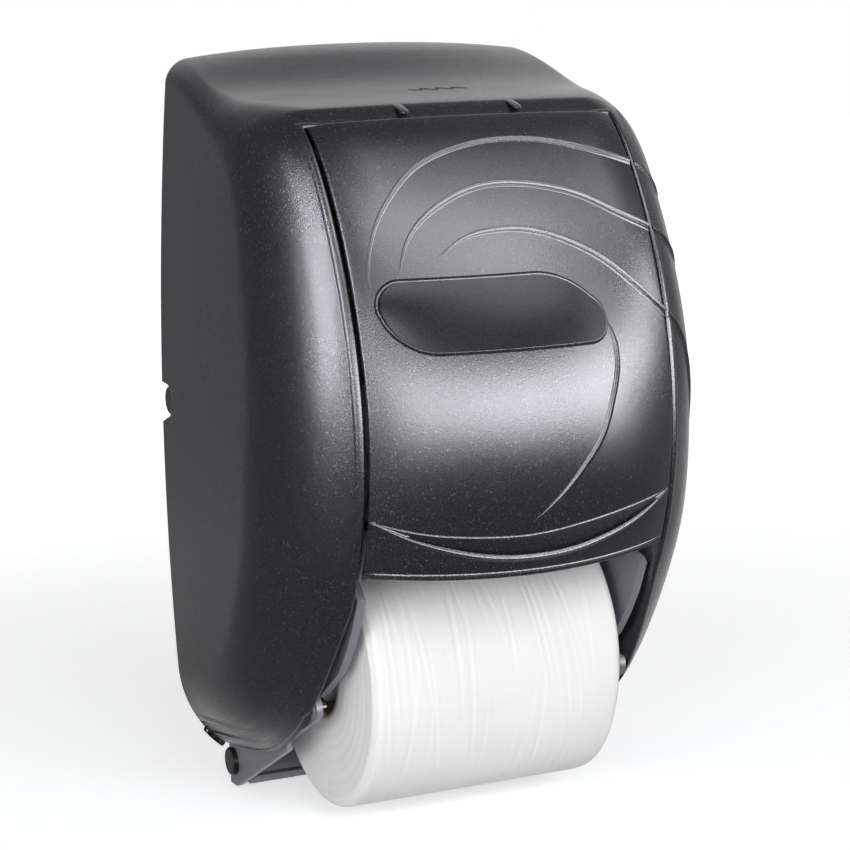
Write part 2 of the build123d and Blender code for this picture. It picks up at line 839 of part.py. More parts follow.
lower_spring = spindle_spring(lower_roll_z + spindle_lift)
lower_spring.label = "lower_spring"
export_step(lower_spring, "parts/lower_spring.step")

reserve_sleeve = spindle_sleeve(reserve_roll_z + spindle_lift, swing_outer_x - 0.2)
reserve_sleeve.label = "reserve_sleeve"
export_step(reserve_sleeve, "parts/reserve_sleeve.step")

reserve_plunger = spindle_plunger(reserve_roll_z + spindle_lift, swing_outer_x - 0.2)
reserve_plunger.label = "reserve_plunger"
export_step(reserve_plunger, "parts/reserve_plunger.step")

reserve_spring = spindle_spring(reserve_roll_z + spindle_lift)
reserve_spring.label = "reserve_spring"
export_step(reserve_spring, "parts/reserve_spring.step")


# Rolls and cores
def ring_along_x(axis_z, outer_radius, inner_radius):
    """Tube as long as the roll, round the roll's axis."""
    with BuildPart() as ring:
        with BuildSketch(Plane.YZ):
            with Locations((roll_y, axis_z)):
                Circle(outer_radius)
                Circle(inner_radius, mode=Mode.SUBTRACT)
        extrude(amount=roll_half_length, both=True)
    return ring.part


lower_core = ring_along_x(lower_roll_z, core_radius, core_bore)
lower_core.label = "lower_core"
export_step(lower_core, "parts/lower_core.step")

lower_roll = ring_along_x(lower_roll_z, roll_radius, core_radius + 0.05)
lower_roll.label = "lower_roll"
export_step(lower_roll, "parts/lower_roll.step")

reserve_core = ring_along_x(reserve_roll_z, core_radius, core_bore)
reserve_core.label = "reserve_core"
export_step(reserve_core, "parts/reserve_core.step")

reserve_roll = ring_along_x(reserve_roll_z, roll_radius, core_radius + 0.05)
reserve_roll.label = "reserve_roll"
export_step(reserve_roll, "parts/reserve_roll.step")


# Hood: the outer shell round the panel
panel_screw_angles = (55.0, 75.0, 93.0)
panel_screw_radius = 1.3
panel_screw_head = 2.2
panel_screw_head_height = 1.6
panel_screw_depth = 6.9
arm_screw_y = -96.0
arm_screw_z = 54.0

opening = outline_body(lip_points(1, 0) + lip_points(-1, 0)[::-1]) & wedge(panel_top_angle, 190)
return_layer = outer_form - return_form
flange_top_angle = panel_top_angle - angle_for(return_wall, panel_top_angle)
hood_returns = return_layer & wedge(flange_top_angle, 190)
hood_returns &= outline_body(lip_points(1, return_wall) + lip_points(-1, return_wall)[::-1])

with BuildPart() as hood:
    add(outer_form)
    add(inner_form, mode=Mode.SUBTRACT)
    add(hood_returns)
    add(opening, mode=Mode.SUBTRACT)
    # Notches in the rear edge for the side studs
    with BuildSketch(Plane.YZ):
        with Locations((stud_y, stud_z)):
            Circle(notch_radius)
        with Locations((stud_y / 2 + 1, stud_z)):
            Rectangle(-stud_y + 2, 2 * notch_radius)
    extrude(amount=far / 2, both=True, mode=Mode.SUBTRACT)
    # Stepped key slit in the top
    with BuildSketch(Plane.XY.offset(260)):
        Polygon(
            (-4, -67.2),
            (9, -67.2),
            (9, -65.2),
            (23, -65.2),
            (23, -63.2),
            (7, -63.2),
            (7, -65.2),
            (-4, -65.2),
            align=None,
        )
    extrude(amount=80, mode=Mode.SUBTRACT)
    # Holes for the panel screws
    for angle in panel_screw_angles:
        with BuildSketch(Plane.YZ):
            with Locations(side_line_point(angle, panel_screw_depth)):
                Circle(panel_screw_radius + 0.1)
        extrude(amount=lip_start[0] + return_wall + 1, both=True, mode=Mode.SUBTRACT)
    # Holes for the hinge arm screws
    with BuildSketch(Plane.YZ):
        with Locations((arm_screw_y, arm_screw_z)):
            Circle(screw_shank_radius + running_gap)
    extrude(amount=76, both=True, mode=Mode.SUBTRACT)
    # Raised lines that carry on from the panel
    for arch in arch_bodies:
        add((raised_layer & arch) & slab(lip_start[0] + 0.6, 81))
hood.part.label = "hood"
export_step(hood.part, "parts/hood.step")
print("hood solids", len(hood.part.solids()))


# Front panel
panel_half_width = opening_half_width - panel_gap
panel_first_angle = panel_top_angle + angle_for(panel_gap, panel_top_angle)
panel_wedge = wedge(panel_first_angle, panel_bottom_angle)
inner_wedge = wedge(
    panel_first_angle + angle_for(panel_wall, panel_top_angle),
    panel_bottom_angle - angle_for(panel_wall, panel_bottom_angle),
)
panel_frame = outer_form - return_form
panel_frame -= slab(-panel_half_width + return_wall, panel_half_width - return_wall) & inner_wedge

with BuildPart() as front_panel:
    add(outer_form)
    add(panel_inner_form, mode=Mode.SUBTRACT)
    add(panel_frame)
    for arch in arch_bodies:
        add(raised_layer & arch)
    add(raised_layer & line_body(swoosh_line))
    add(raised_layer & bead_body)
    add(name_plate_body(0) - sunk_form, mode=Mode.SUBTRACT)
    # Shallow crescent scoop over the bottom edge
    add(crescent.part - scoop_form, mode=Mode.SUBTRACT)
    add(slab(-panel_half_width, panel_half_width), mode=Mode.INTERSECT)
    add(panel_wedge, mode=Mode.INTERSECT)
    for angle in panel_screw_angles:
        with BuildSketch(Plane.YZ):
            with Locations(side_line_point(angle, panel_screw_depth)):
                Circle(panel_screw_radius + 0.1)
        extrude(amount=panel_half_width + 1, both=True, mode=Mode.SUBTRACT)
front_panel.part.label = "front_panel"
export_step(front_panel.part, "parts/front_panel.step")
print("panel solids", len(front_panel.part.solids()))

name_plate = (plate_front_form - plate_back_form) & name_plate_body(-name_plate_gap) & front_wedge
name_plate.label = "name_plate"
export_step(name_plate, "parts/name_plate.step")

with BuildPart() as panel_screws:
    for side in (-1, 1):
        for angle in panel_screw_angles:
            head_x = panel_half_width - return_wall - 0.1 - panel_screw_head_height
            with BuildSketch(Plane.YZ.offset(side * head_x)):
                with Locations(side_line_point(angle, panel_screw_depth)):
                    Circle(panel_screw_head)
            extrude(amount=side * panel_screw_head_height)
            with BuildSketch(Plane.YZ.offset(side * (head_x + 1))):
                with Locations(side_line_point(angle, panel_screw_depth)):
                    Circle(panel_screw_radius)
            extrude(amount=side * (lip_start[0] + return_wall - 0.6 - head_x))
panel_screws.part.label = "panel_screws"
export_step(panel_screws.part, "parts/panel_screws.step")


# Hinge arms
def hinge_arm(side):
    """Flat arm from the hinge pin to the cover's lower lip."""
    inner_x = hinge_arm_outer_x - hinge_arm_wall
    with BuildPart() as arm:
        with BuildSketch(Plane.YZ.offset(side * inner_x)):
            with Locations((hinge_y, hinge_z)):
                Circle(hinge_hub_radius)
            with Locations((arm_screw_y, arm_screw_z)):
                Circle(hinge_hub_radius)
            make_hull()
        extrude(amount=side * hinge_arm_wall)
        with BuildSketch(Plane.YZ.offset(side * inner_x)):
            with Locations((arm_screw_y, arm_screw_z)):
                Circle(3.6)
        extrude(amount=side * (hinge_arm_wall + 0.9))
        with BuildSketch(Plane.YZ):
            with Locations((hinge_y, hinge_z)):
                Circle(hinge_pin_radius + running_gap)
            with Locations((arm_screw_y, arm_screw_z)):
                Circle(screw_shank_radius + running_gap)
        extrude(amount=far / 2, both=True, mode=Mode.SUBTRACT)
    return arm.part


hinge_arm_left = hinge_arm(-1)
hinge_arm_left.label = "hinge_arm_left"
export_step(hinge_arm_left, "parts/hinge_arm_left.step")

hinge_arm_right = hinge_arm(1)
hinge_arm_right.label = "hinge_arm_right"
export_step(hinge_arm_right, "parts/hinge_arm_right.step")

with BuildPart() as arm_screws:
    for side in (-1, 1):
        head_x = hinge_arm_outer_x - hinge_arm_wall - 0.1 - screw_head_height
        with BuildSketch(Plane.YZ.offset(side * head_x)):
            with Locations((arm_screw_y, arm_screw_z)):
                Circle(screw_head_radius)
        extrude(amount=side * screw_head_height)
        with BuildSketch(Plane.YZ.offset(side * (head_x + 1))):
            with Locations((arm_screw_y, arm_screw_z)):
                Circle(screw_shank_radius)
        extrude(amount=side * (74.5 - head_x - 1))
arm_screws.part.label = "arm_screws"
export_step(arm_screws.part, "parts/arm_screws.step")


# Latch: bracket, lever, pin and spring
bracket_seat_form = cover_body(cover_wall + 0.2)

with BuildPart() as latch_bracket:
    with BuildSketch(Plane.YZ.offset(latch_x)):
        Polygon((-42, 300.5), (-14, 308), (-14, 330), (-42, 330), align=None)
    extrude(amount=latch_half_width + latch_side_gap + cheek_wall, both=True)
    for side in (-1, 1):
        with BuildSketch(Plane.YZ.offset(latch_x + side * (latch_half_width + latch_side_gap))):
            Polygon((-40, 283), (-28, 283), (-24, 306), (-42, 306), align=None)
        extrude(amount=side * cheek_wall)
    with BuildSketch(Plane.YZ.offset(latch_x)):
        with Locations((latch_y, latch_z)):
            Circle(latch_pin_radius + running_gap)
    extrude(amount=20, both=True, mode=Mode.SUBTRACT)
    add(bracket_seat_form, mode=Mode.INTERSECT)
latch_bracket.part.label = "latch_bracket"
export_step(latch_bracket.part, "parts/latch_bracket.step")

with BuildPart() as latch_lever:
    with BuildSketch(Plane.YZ.offset(latch_x)):
        with Locations((latch_y, latch_z)):
            Circle(latch_hub_radius)
        Polygon(
            (lever_front_y, latch_z - 3),
            (latch_y + 3, latch_z - 3),
            (-27, 290),
            (-18, keeper_top_z + 4),
            (keeper_lip_y + 0.5, keeper_top_z + 4),
            (keeper_lip_y + 0.5, keeper_top_z + 0.8),
            (tooth_rear_y, keeper_top_z + 0.8),
            (tooth_rear_y, keeper_top_z + 7.7),
            (-24, keeper_top_z + 7.7),
            (-33, latch_z + 4),
            (lever_front_y, latch_z),
            align=None,
        )
        with Locations((latch_y, latch_z)):
            Circle(latch_pin_radius + running_gap, mode=Mode.SUBTRACT)
    extrude(amount=latch_half_width, both=True)
latch_lever.part.label = "latch_lever"
export_step(latch_lever.part, "parts/latch_lever.step")

with BuildPart() as latch_pin:
    with BuildSketch(Plane.YZ.offset(latch_x)):
        with Locations((latch_y, latch_z)):
            Circle(latch_pin_radius)
    extrude(amount=latch_half_width + latch_side_gap + cheek_wall, both=True)
latch_pin.part.label = "latch_pin"
export_step(latch_pin.part, "parts/latch_pin.step")

lever_top_z = keeper_top_z + 7.7
bracket_face_z = 300.5 + (latch_spring_y + 42) * 7.5 / 28
latch_spring = coil_spring(
    (latch_x, latch_spring_y, lever_top_z + 0.2),
    (0, 0, 1),
    (1, 0, 0),
    latch_spring_radius,
    latch_spring_wire_radius,
    latch_spring_coils,
    bracket_face_z - lever_top_z - 1.4,
)
latch_spring.label = "latch_spring"
export_step(latch_spring, "parts/latch_spring.step")

print("least gap between turns of a spring", round(least_spring_gap, 2))
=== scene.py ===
"""Bath tissue dispenser: the visual model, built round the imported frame.

Every length is in millimetres until a mesh is written, and in metres after that.
"""

import logging
import math
from collections.abc import Callable, Sequence
from dataclasses import dataclass, field
from enum import Enum

import bmesh
import bpy
import numpy as np
from mathutils import Matrix, Vector

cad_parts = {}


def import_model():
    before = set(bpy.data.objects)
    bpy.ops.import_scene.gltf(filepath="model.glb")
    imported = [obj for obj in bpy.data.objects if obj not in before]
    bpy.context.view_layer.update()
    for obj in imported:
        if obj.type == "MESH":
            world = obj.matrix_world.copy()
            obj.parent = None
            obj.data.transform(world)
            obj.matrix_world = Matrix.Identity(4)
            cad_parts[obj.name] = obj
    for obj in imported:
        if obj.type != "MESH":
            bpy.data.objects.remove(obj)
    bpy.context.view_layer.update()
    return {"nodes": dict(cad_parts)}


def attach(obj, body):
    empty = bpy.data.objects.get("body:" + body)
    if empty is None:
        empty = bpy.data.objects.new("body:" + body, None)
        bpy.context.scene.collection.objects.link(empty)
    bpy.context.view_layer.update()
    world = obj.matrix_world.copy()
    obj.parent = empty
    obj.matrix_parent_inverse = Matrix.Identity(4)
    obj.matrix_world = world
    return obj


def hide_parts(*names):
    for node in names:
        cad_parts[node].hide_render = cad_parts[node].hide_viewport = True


LOG = logging.getLogger("dispenser")
MM = 0.001
ROUND_STEPS = (0, 22, 45, 68, 90)

Pair = tuple[float, float]
Pairs = tuple[Pair, ...]
Triple = tuple[float, float, float]
Socket = bpy.types.NodeSocket


# Curves


class NaturalSpline:
    """Natural cubic spline through values at knots."""

    def __init__(self, knots: Sequence[float], values: Sequence[float]) -> None:
        """Solves the spline's bends.

        Args:
            knots: rising positions.
            values: the value at each knot.
        """
        self.knots = np.array(knots, float)
        self.values = np.array(values, float)
        self.step = np.diff(self.knots)
        count = len(self.knots)
        matrix = np.eye(count)
        right_side = np.zeros(count)
        for i in range(1, count - 1):
            before, after = self.step[i - 1], self.step[i]
            matrix[i, i - 1 : i + 2] = before, 2 * (before + after), after
            slope_after = (self.values[i + 1] - self.values[i]) / after
            slope_before = (self.values[i] - self.values[i - 1]) / before
            right_side[i] = 6 * (slope_after - slope_before)
        self.bend = np.linalg.solve(matrix, right_side)

    def __call__(self, at: np.ndarray) -> np.ndarray:
        """The spline's value.

        Args:
            at: positions to read.

        Returns:
            The value at each position.
        """
        at = np.asarray(at, float)
        i = np.clip(np.searchsorted(self.knots, at) - 1, 0, len(self.knots) - 2)
        a = (self.knots[i + 1] - at) / self.step[i]
        b = 1 - a
        curve = (a**3 - a) * self.bend[i] + (b**3 - b) * self.bend[i + 1]
        return a * self.values[i] + b * self.values[i + 1] + curve * self.step[i] ** 2 / 6


def lengths_along(points: np.ndarray) -> np.ndarray:
    """Length of a line of straight runs up to each of its points."""
    return np.concatenate([[0], np.cumsum(np.linalg.norm(np.diff(points, axis=0), axis=1))])


def through_points(points: np.ndarray, count: int, smooth: bool) -> np.ndarray:
    """Line through points, evenly divided by chord length.

    Args:
        points: the points to pass, one row each.
        count: how many points to return.
        smooth: whether the line bends smoothly, or runs straight from point to point.

    Returns:
        An array of count points.
    """
    length = lengths_along(points)
    at = np.linspace(0, length[-1], count)
    if smooth:
        return np.stack([NaturalSpline(length, points[:, i])(at) for i in range(2)], axis=1)
    return np.stack([np.interp(at, length, points[:, i]) for i in range(2)], axis=1)


def narrowed(
    low: np.ndarray, high: np.ndarray, before: Callable[[np.ndarray], np.ndarray], halvings: int
) -> tuple[np.ndarray, np.ndarray]:
    """Halves each range about the place where a test turns false.

    Args:
        low: lower ends, where the test holds.
        high: upper ends, where it does not.
        before: the test, from places to truth values.
        halvings: how often the ranges are halved.

    Returns:
        The lower and the upper ends that are left.
    """
    for _ in range(halvings):
        middle = (low + high) / 2
        holds = before(middle)
        low, high = np.where(holds, middle, low), np.where(holds, high, middle)
    return low, high


# The cover's outer surface


@dataclass(frozen=True)
class CoverForm:
    """The cover's outer surface, as cross-sections in planes that fan out from a line behind the wall."""

    half_width: float = 96.2
    widest_z: float = 118.7
    side_bow_radius: float = 1757.0
    side_line_x: float = 67.1
    fan_y: float = 30.0
    fan_z: float = 144.0
    side_line: Pairs = (
        (30.0, 318.1), (-0.7, 316.6), (-62.0, 298.0), (-103.1, 289.3), (-125.4, 266.1),
        (-145.4, 223.9), (-153.6, 186.1), (-151.7, 144.4), (-141.0, 111.9), (-129.4, 91.2),
        (-112.8, 65.1), (-90.5, 38.5), (-49.9, 19.4), (-13.9, 14.5), (30.0, 8.0),
    )
    shape_angles: tuple[float, ...] = (0, 30, 50, 70, 90, 110, 135, 170)
    corner_radii: tuple[float, ...] = (17.0, 13.0, 43.5, 60.0, 65.0, 53.0, 57.0, 44.0)
    crown_bends: tuple[float, ...] = (2.6, 0.6, 1.5, 7.7, 9.2, 6.4, 5.5, 5.9)
    reach_range: Pair = (20.0, 330.0)
    angle_range: Pair = (20.0, 150.0)
    width_passes: int = 8
    probe: float = 0.05
    side_margin: float = 0.02
    splines: dict[str, NaturalSpline] = field(default_factory=dict)

    def __post_init__(self) -> None:
        """Makes the three splines that drive the sections."""
        angles, reach = self.fan_place(*np.array(self.side_line).T)
        self.splines["reach"] = NaturalSpline(angles, reach)
        self.splines["corner"] = NaturalSpline(self.shape_angles, self.corner_radii)
        self.splines["bend"] = NaturalSpline(self.shape_angles, self.crown_bends)

    @property
    def middle(self) -> Triple:
        """The middle of the fan line, inside the cover."""
        return (0.0, self.fan_y, self.fan_z)

    def fan_place(self, y: np.ndarray, z: np.ndarray) -> tuple[np.ndarray, np.ndarray]:
        """Fan angle in degrees and distance from the fan line of places in the side view."""
        depth, rise = self.fan_y - y, z - self.fan_z
        return np.degrees(np.arctan2(depth, rise)), np.hypot(depth, rise)

    def side_half_width(self, z: np.ndarray) -> np.ndarray:
        """Half width of the cover at each height."""
        return self.half_width - (z - self.widest_z) ** 2 / (2 * self.side_bow_radius)

    def section_width(self, angle: np.ndarray) -> np.ndarray:
        """Half width that each fan angle's section is drawn with."""
        reach = self.splines["reach"](angle)
        return self.side_half_width(self.fan_z + reach * np.cos(np.radians(angle)))

    def section_reach(self, angle: np.ndarray, x: np.ndarray) -> np.ndarray:
        """Distance of the surface from the fan line.

        Args:
            angle: fan angle in degrees.
            x: distance from the middle, in the section's own width.

        Returns:
            The distance at each x.
        """
        width = self.section_width(angle)
        crown = 1000 / self.splines["bend"](angle)
        corner = self.splines["corner"](angle)
        rise = np.sqrt((crown - corner) ** 2 - (width - corner) ** 2)
        join = (width - corner) * crown / (crown - corner)

        def fall(at: np.ndarray) -> np.ndarray:
            """Drop of the section from its crest.

            Args:
                at: distances from the middle.

            Returns:
                The drop at each distance.
            """
            on_crown = crown - np.sqrt(np.maximum(crown**2 - at**2, 0))
            beyond = np.maximum(corner**2 - (at - (width - corner)) ** 2, 0)
            return np.where(at <= join, on_crown, crown - rise - np.sqrt(beyond))

        top = self.splines["reach"](angle) + fall(np.full_like(width, self.side_line_x))
        return top - fall(np.minimum(np.abs(x), width))

    def at(self, x: np.ndarray, angle: np.ndarray) -> np.ndarray:
        """Points of the surface.

        Args:
            x: true distance from the middle, signed.
            angle: fan angle in degrees.

        Returns:
            An array of points, one row each.
        """
        x, angle = np.broadcast_arrays(np.asarray(x, float), np.asarray(angle, float))
        width = self.section_width(angle)
        turn = np.radians(angle)
        reach = self.section_reach(angle, np.abs(x))
        for _ in range(self.width_passes):
            own_x = np.abs(x) * width / self.side_half_width(self.fan_z + reach * np.cos(turn))
            reach = 0.5 * (reach + self.section_reach(angle, own_x))
        return np.stack(
            [x, self.fan_y - reach * np.sin(turn), self.fan_z + reach * np.cos(turn)], axis=-1
        )

    def height_over(self, points: np.ndarray, margin: float) -> tuple[np.ndarray, np.ndarray]:
        """How far points stand over the surface.

        Args:
            points: an array of points.
            margin: how far from its end a section is read at the most.

        Returns:
            The height over the surface, and the distance to the side wall, of each point.
        """
        angle, reach = self.fan_place(points[..., 1], points[..., 2])
        width = self.section_width(angle)
        own_x = np.abs(points[..., 0]) * width / self.side_half_width(points[..., 2])
        return reach - self.section_reach(angle, np.minimum(own_x, width - margin)), width - own_x

    def inside(self, points: np.ndarray) -> np.ndarray:
        """Whether each point is under the surface."""
        height, room = self.height_over(points, 0.0)
        return (room > 0) & (height < 0)

    def along(self, roll: np.ndarray, lift: np.ndarray) -> np.ndarray:
        """Surface points seen from the middle of the fan line.

        Args:
            roll: direction round the front view, in degrees from straight up.
            lift: how far the direction leans to the front, in degrees.

        Returns:
            An array of points.
        """
        roll, lift = np.broadcast_arrays(np.radians(roll), np.radians(lift))
        way = np.stack([np.sin(roll) * np.cos(lift), -np.sin(lift), np.cos(roll) * np.cos(lift)], -1)
        start = np.array(self.middle)
        low, high = (np.full(roll.shape, end) for end in self.reach_range)
        low, _ = narrowed(low, high, lambda reach: self.inside(start + way * reach[..., None]), halvings=34)
        return start + way * low[..., None]

    def outward(self, points: np.ndarray) -> np.ndarray:
        """Directions out of the surface.

        Args:
            points: an array of points near the surface.

        Returns:
            A unit direction for each point.
        """
        gradient = np.zeros_like(points)
        for axis in range(3):
            values = []
            for side in (-1, 1):
                moved = points.copy()
                moved[..., axis] += side * self.probe
                values.append(self.height_over(moved, self.side_margin)[0])
            gradient[..., axis] = values[1] - values[0]
        return gradient / np.linalg.norm(gradient, axis=-1, keepdims=True)

    def angle_at_height(self, x: np.ndarray, z: np.ndarray) -> np.ndarray:
        """Fan angle of the surface at places of the front view.

        Args:
            x: distance from the middle.
            z: height.

        Returns:
            The angle in degrees at each place.
        """
        x, z = np.broadcast_arrays(np.asarray(x, float), np.asarray(z, float))
        low, high = (np.full(x.shape, end) for end in self.angle_range)
        low, high = narrowed(low, high, lambda angle: self.at(x, angle)[..., 2] > z, halvings=24)
        return (low + high) / 2


# Meshes


def round_edge(radius: float) -> list[Pair]:
    """Quarter round of an edge, as pairs of distance from it and drop, from the face outwards."""
    turns = np.radians(ROUND_STEPS)
    return [(radius * (1 - math.sin(turn)), radius * (1 - math.cos(turn))) for turn in turns]


def linked(name: str, data: bpy.types.ID) -> bpy.types.Object:
    """Links a mesh, lamp or camera as an object at the origin.

    Args:
        name: the object's name.
        data: what it shows.

    Returns:
        The new object.
    """
    made = bpy.data.objects.new(name, data)
    bpy.context.scene.collection.objects.link(made)
    return made


def mesh_piece(name: str, shape: bmesh.types.BMesh) -> bpy.types.Object:
    """Turns a finished shape into an object.

    Args:
        name: the piece's name.
        shape: its shape in metres, which is freed.

    Returns:
        The new object.
    """
    mesh = bpy.data.meshes.new(name)
    shape.to_mesh(mesh)
    shape.free()
    return linked(name, mesh)


def surface_grid(name: str, points: np.ndarray, closed: bool = False) -> bpy.types.Object:
    """Grid of faces laid over rows of points.

    Args:
        name: the piece's name.
        points: millimetre points, shaped rows by columns by 3.
        closed: whether the last column meets the first.

    Returns:
        The new object, with smooth faces.
    """
    rows, columns = points.shape[:2]
    shape = bmesh.new()
    bmesh.ops.create_grid(shape, x_segments=columns - 1, y_segments=rows - 1, size=1)
    shape.verts.ensure_lookup_table()
    order = sorted(shape.verts, key=lambda v: (round(v.co.y, 7), round(v.co.x, 7)))
    for vert, place in zip(order, points.reshape(-1, 3) * MM):
        vert.co = place
    if closed:
        bmesh.ops.remove_doubles(shape, verts=shape.verts, dist=1e-6)
    for face in shape.faces:
        face.smooth = True
    return mesh_piece(name, shape)


def face_outward(piece: bpy.types.Object, middle: Triple) -> None:
    """Turns a sheet's faces so that most of them look away from a point.

    Args:
        piece: the object to turn.
        middle: the point, in millimetres.
    """
    centre = Vector(middle) * MM
    score = 0.0
    for polygon in piece.data.polygons:
        score += polygon.normal.dot(polygon.center - centre) * polygon.area
    if score < 0:
        piece.data.flip_normals()


def cover_sheet(name: str, points: np.ndarray, form: CoverForm, thickness: float) -> bpy.types.Object:
    """Sheet of the cover with a wall on its inner side.

    Args:
        name: the piece's name.
        points: millimetre points of its outer side, in rows.
        form: the cover's surface.
        thickness: wall in millimetres.

    Returns:
        The sheet.
    """
    sheet = surface_grid(name, points)
    face_outward(sheet, form.middle)
    wall = sheet.modifiers.new("wall", "SOLIDIFY")
    wall.thickness = thickness * MM
    wall.offset = -1
    wall.use_even_offset = False
    return sheet


# Finishes


class Graph:
    """A material's node tree with one principled shader."""

    def __init__(self, name: str) -> None:
        """Starts an empty tree with the shader linked to the output.

        Args:
            name: the material's name.
        """
        self.material = bpy.data.materials.new(name)
        self.material.use_nodes = True
        self.tree = self.material.node_tree
        self.tree.nodes.clear()
        self.output = self.tree.nodes.new("ShaderNodeOutputMaterial")
        self.shader = self.tree.nodes.new("ShaderNodeBsdfPrincipled")
        self.tree.links.new(self.shader.outputs["BSDF"], self.output.inputs["Surface"])
        self.place = self.tree.nodes.new("ShaderNodeTexCoord").outputs["Object"]

    @classmethod
    def for_world(cls, world: bpy.types.World) -> "Graph":
        """Starts the node tree of a world, with directions as its places.

        Args:
            world: the world to fill.

        Returns:
            The empty tree.
        """
        graph = cls.__new__(cls)
        graph.tree = world.node_tree
        graph.tree.nodes.clear()
        graph.output = graph.tree.nodes.new("ShaderNodeOutputWorld")
        graph.place = graph.tree.nodes.new("ShaderNodeTexCoord").outputs["Generated"]
        return graph

    def node(self, kind: str, **sockets: object) -> bpy.types.Node:
        """Adds a node.

        Args:
            kind: the node's type name.
            sockets: input values or sockets to link, by name with _ for a space.

        Returns:
            The new node.
        """
        made = self.tree.nodes.new(kind)
        for key, value in sockets.items():
            self.feed(made.inputs[key.replace("_", " ")], value)
        return made

    def combined(self, kind: str, *values: object, way: str = "") -> Socket:
        """Adds a node whose inputs are given in order.

        Args:
            kind: the node's type name.
            values: its first inputs, as plain values or sockets to link.
            way: the operation, for a node that has several.

        Returns:
            The output of the node that is in use.
        """
        made = self.tree.nodes.new(kind)
        if way:
            made.operation = way
        for socket, value in zip(made.inputs, values):
            self.feed(socket, value)
        return next(socket for socket in made.outputs if socket.enabled)

    def feed(self, socket: Socket, value: object) -> None:
        """Gives an input its value.

        Args:
            socket: the input.
            value: a plain value, or a socket to link.
        """
        if isinstance(value, Socket):
            self.tree.links.new(value, socket)
        else:
            socket.default_value = value

    def noise(self, scale: float, detail: float, **sockets: object) -> Socket:
        """Noise over the tree's own places.

        Args:
            scale: how many grains a metre holds.
            detail: how many finer layers it has.
            sockets: further inputs, as for a node.

        Returns:
            The noise's value.
        """
        sockets.setdefault("Vector", self.place)
        return self.node("ShaderNodeTexNoise", Scale=scale, Detail=detail, **sockets).outputs["Fac"]

    def span(self, share: Socket, low: object, high: object) -> Socket:
        """Value that goes from one number to another as a share goes from 0 to 1."""
        return self.node("ShaderNodeMapRange", Value=share, To_Min=low, To_Max=high).outputs["Result"]

    def fade(self, value: Socket, start: float, end: float) -> Socket:
        """Smooth step of a value.

        Args:
            value: the socket to read.
            start: where the step is 0.
            end: where the step is 1.

        Returns:
            The step's socket.
        """
        step = self.node("ShaderNodeMapRange", Value=value, From_Min=start, From_Max=end)
        step.interpolation_type = "SMOOTHSTEP"
        return step.outputs["Result"]

    def result(self, way: str, first: object, second: object) -> Socket:
        """Output of an operation on two numbers or sockets."""
        return self.combined("ShaderNodeMath", first, second, way=way)

    def ramp(self, factor: Socket, *stops: tuple[float, tuple]) -> Socket:
        """Colour ramp.

        Args:
            factor: the socket that drives it.
            stops: positions with colours.

        Returns:
            The ramp's colour socket.
        """
        made = self.tree.nodes.new("ShaderNodeValToRGB")
        self.tree.links.new(factor, made.inputs["Fac"])
        ramp = made.color_ramp
        while len(ramp.elements) < len(stops):
            ramp.elements.new(0.5)
        for element, (position, colour) in zip(ramp.elements, stops):
            element.position = position
            element.color = (*colour, 1.0)
        return made.outputs["Color"]

    def mix(self, factor: object, first: object, second: object, way: str) -> Socket:
        """Mixes two colours.

        Args:
            factor: a number or socket from 0 to 1.
            first: colour or socket at 0.
            second: colour or socket at 1.
            way: the blend type.

        Returns:
            The mixed colour's socket.
        """
        made = self.tree.nodes.new("ShaderNodeMix")
        made.data_type = "RGBA"
        made.blend_type = way
        colours = [socket for socket in made.inputs if socket.type == "RGBA"]
        for socket, value in zip((made.inputs[0], *colours), (factor, first, second)):
            self.feed(socket, value)
        return next(socket for socket in made.outputs if socket.type == "RGBA")

    def set(self, **sockets: object) -> None:
        """Sets or links the shader's inputs."""
        for key, value in sockets.items():
            self.feed(self.shader.inputs[key.replace("_", " ")], value)

    def bump(self, height: Socket, strength: float, distance: float) -> None:
        """Bumps the shader's normal.

        Args:
            height: the height socket.
            strength: the bump's strength.
            distance: its depth in metres.
        """
        made = self.node("ShaderNodeBump", Strength=strength, Distance=distance, Height=height)
        self.set(Normal=made.outputs["Normal"])


@dataclass(frozen=True)
class PearlPlastic:
    """Smoke-tinted pearl plastic with a fine spark-eroded grain, and painted glints: a few flake cells get a
    bright colour that stands in for the pearl's sparkle.
    """

    name: str
    dark: Triple
    light: Triple
    tint: Triple = (0.93, 0.905, 1.0)
    specular: float = 0.65
    roughness: float = 0.27
    grain_size: float = 0.55
    grain_depth: float = 0.085
    # Strength of the painted glints: bright flake colours that stand in for sparkle.
    painted_glint: float = 0.07
    cloud_scale: float = 16.0
    mottle: float = 0.88
    unevenness: float = 0.03

    def material(self) -> bpy.types.Material:
        """Builds the finish's nodes.

        Returns:
            The material.
        """
        graph = Graph(self.name)
        grains = 1 / (self.grain_size * MM)
        grain = graph.noise(grains, 2.0, Roughness=0.6)
        flakes = graph.node("ShaderNodeTexVoronoi", Vector=graph.place, Scale=grains)
        speck = graph.ramp(grain, (0.35, self.dark), (0.7, self.light))
        split = graph.node("ShaderNodeSeparateColor", Color=flakes.outputs["Color"])
        # Painted glints: a few of the flake cells get a bright colour in place of the pearl's sparkle.
        glint_cells = graph.ramp(split.outputs["Red"], (0.95, (0.0, 0.0, 0.0)), (0.99, (1.0, 1.0, 1.0)))
        painted_glint_colour = (*(self.painted_glint * c for c in self.tint), 1.0)
        colour = graph.mix(glint_cells, speck, painted_glint_colour, "MIX")
        cloud = graph.noise(self.cloud_scale, 2.0)
        mottle = graph.ramp(cloud, (0.3, (self.mottle,) * 3), (0.7, (1.0, 1.0, 1.0)))
        graph.set(
            Base_Color=graph.mix(1.0, colour, mottle, "MULTIPLY"),
            Roughness=graph.span(cloud, self.roughness - self.unevenness, self.roughness + self.unevenness),
            Specular_IOR_Level=self.specular,
            Specular_Tint=(*self.tint, 1.0),
        )
        graph.bump(grain, 1.0, self.grain_depth * MM)
        return graph.material


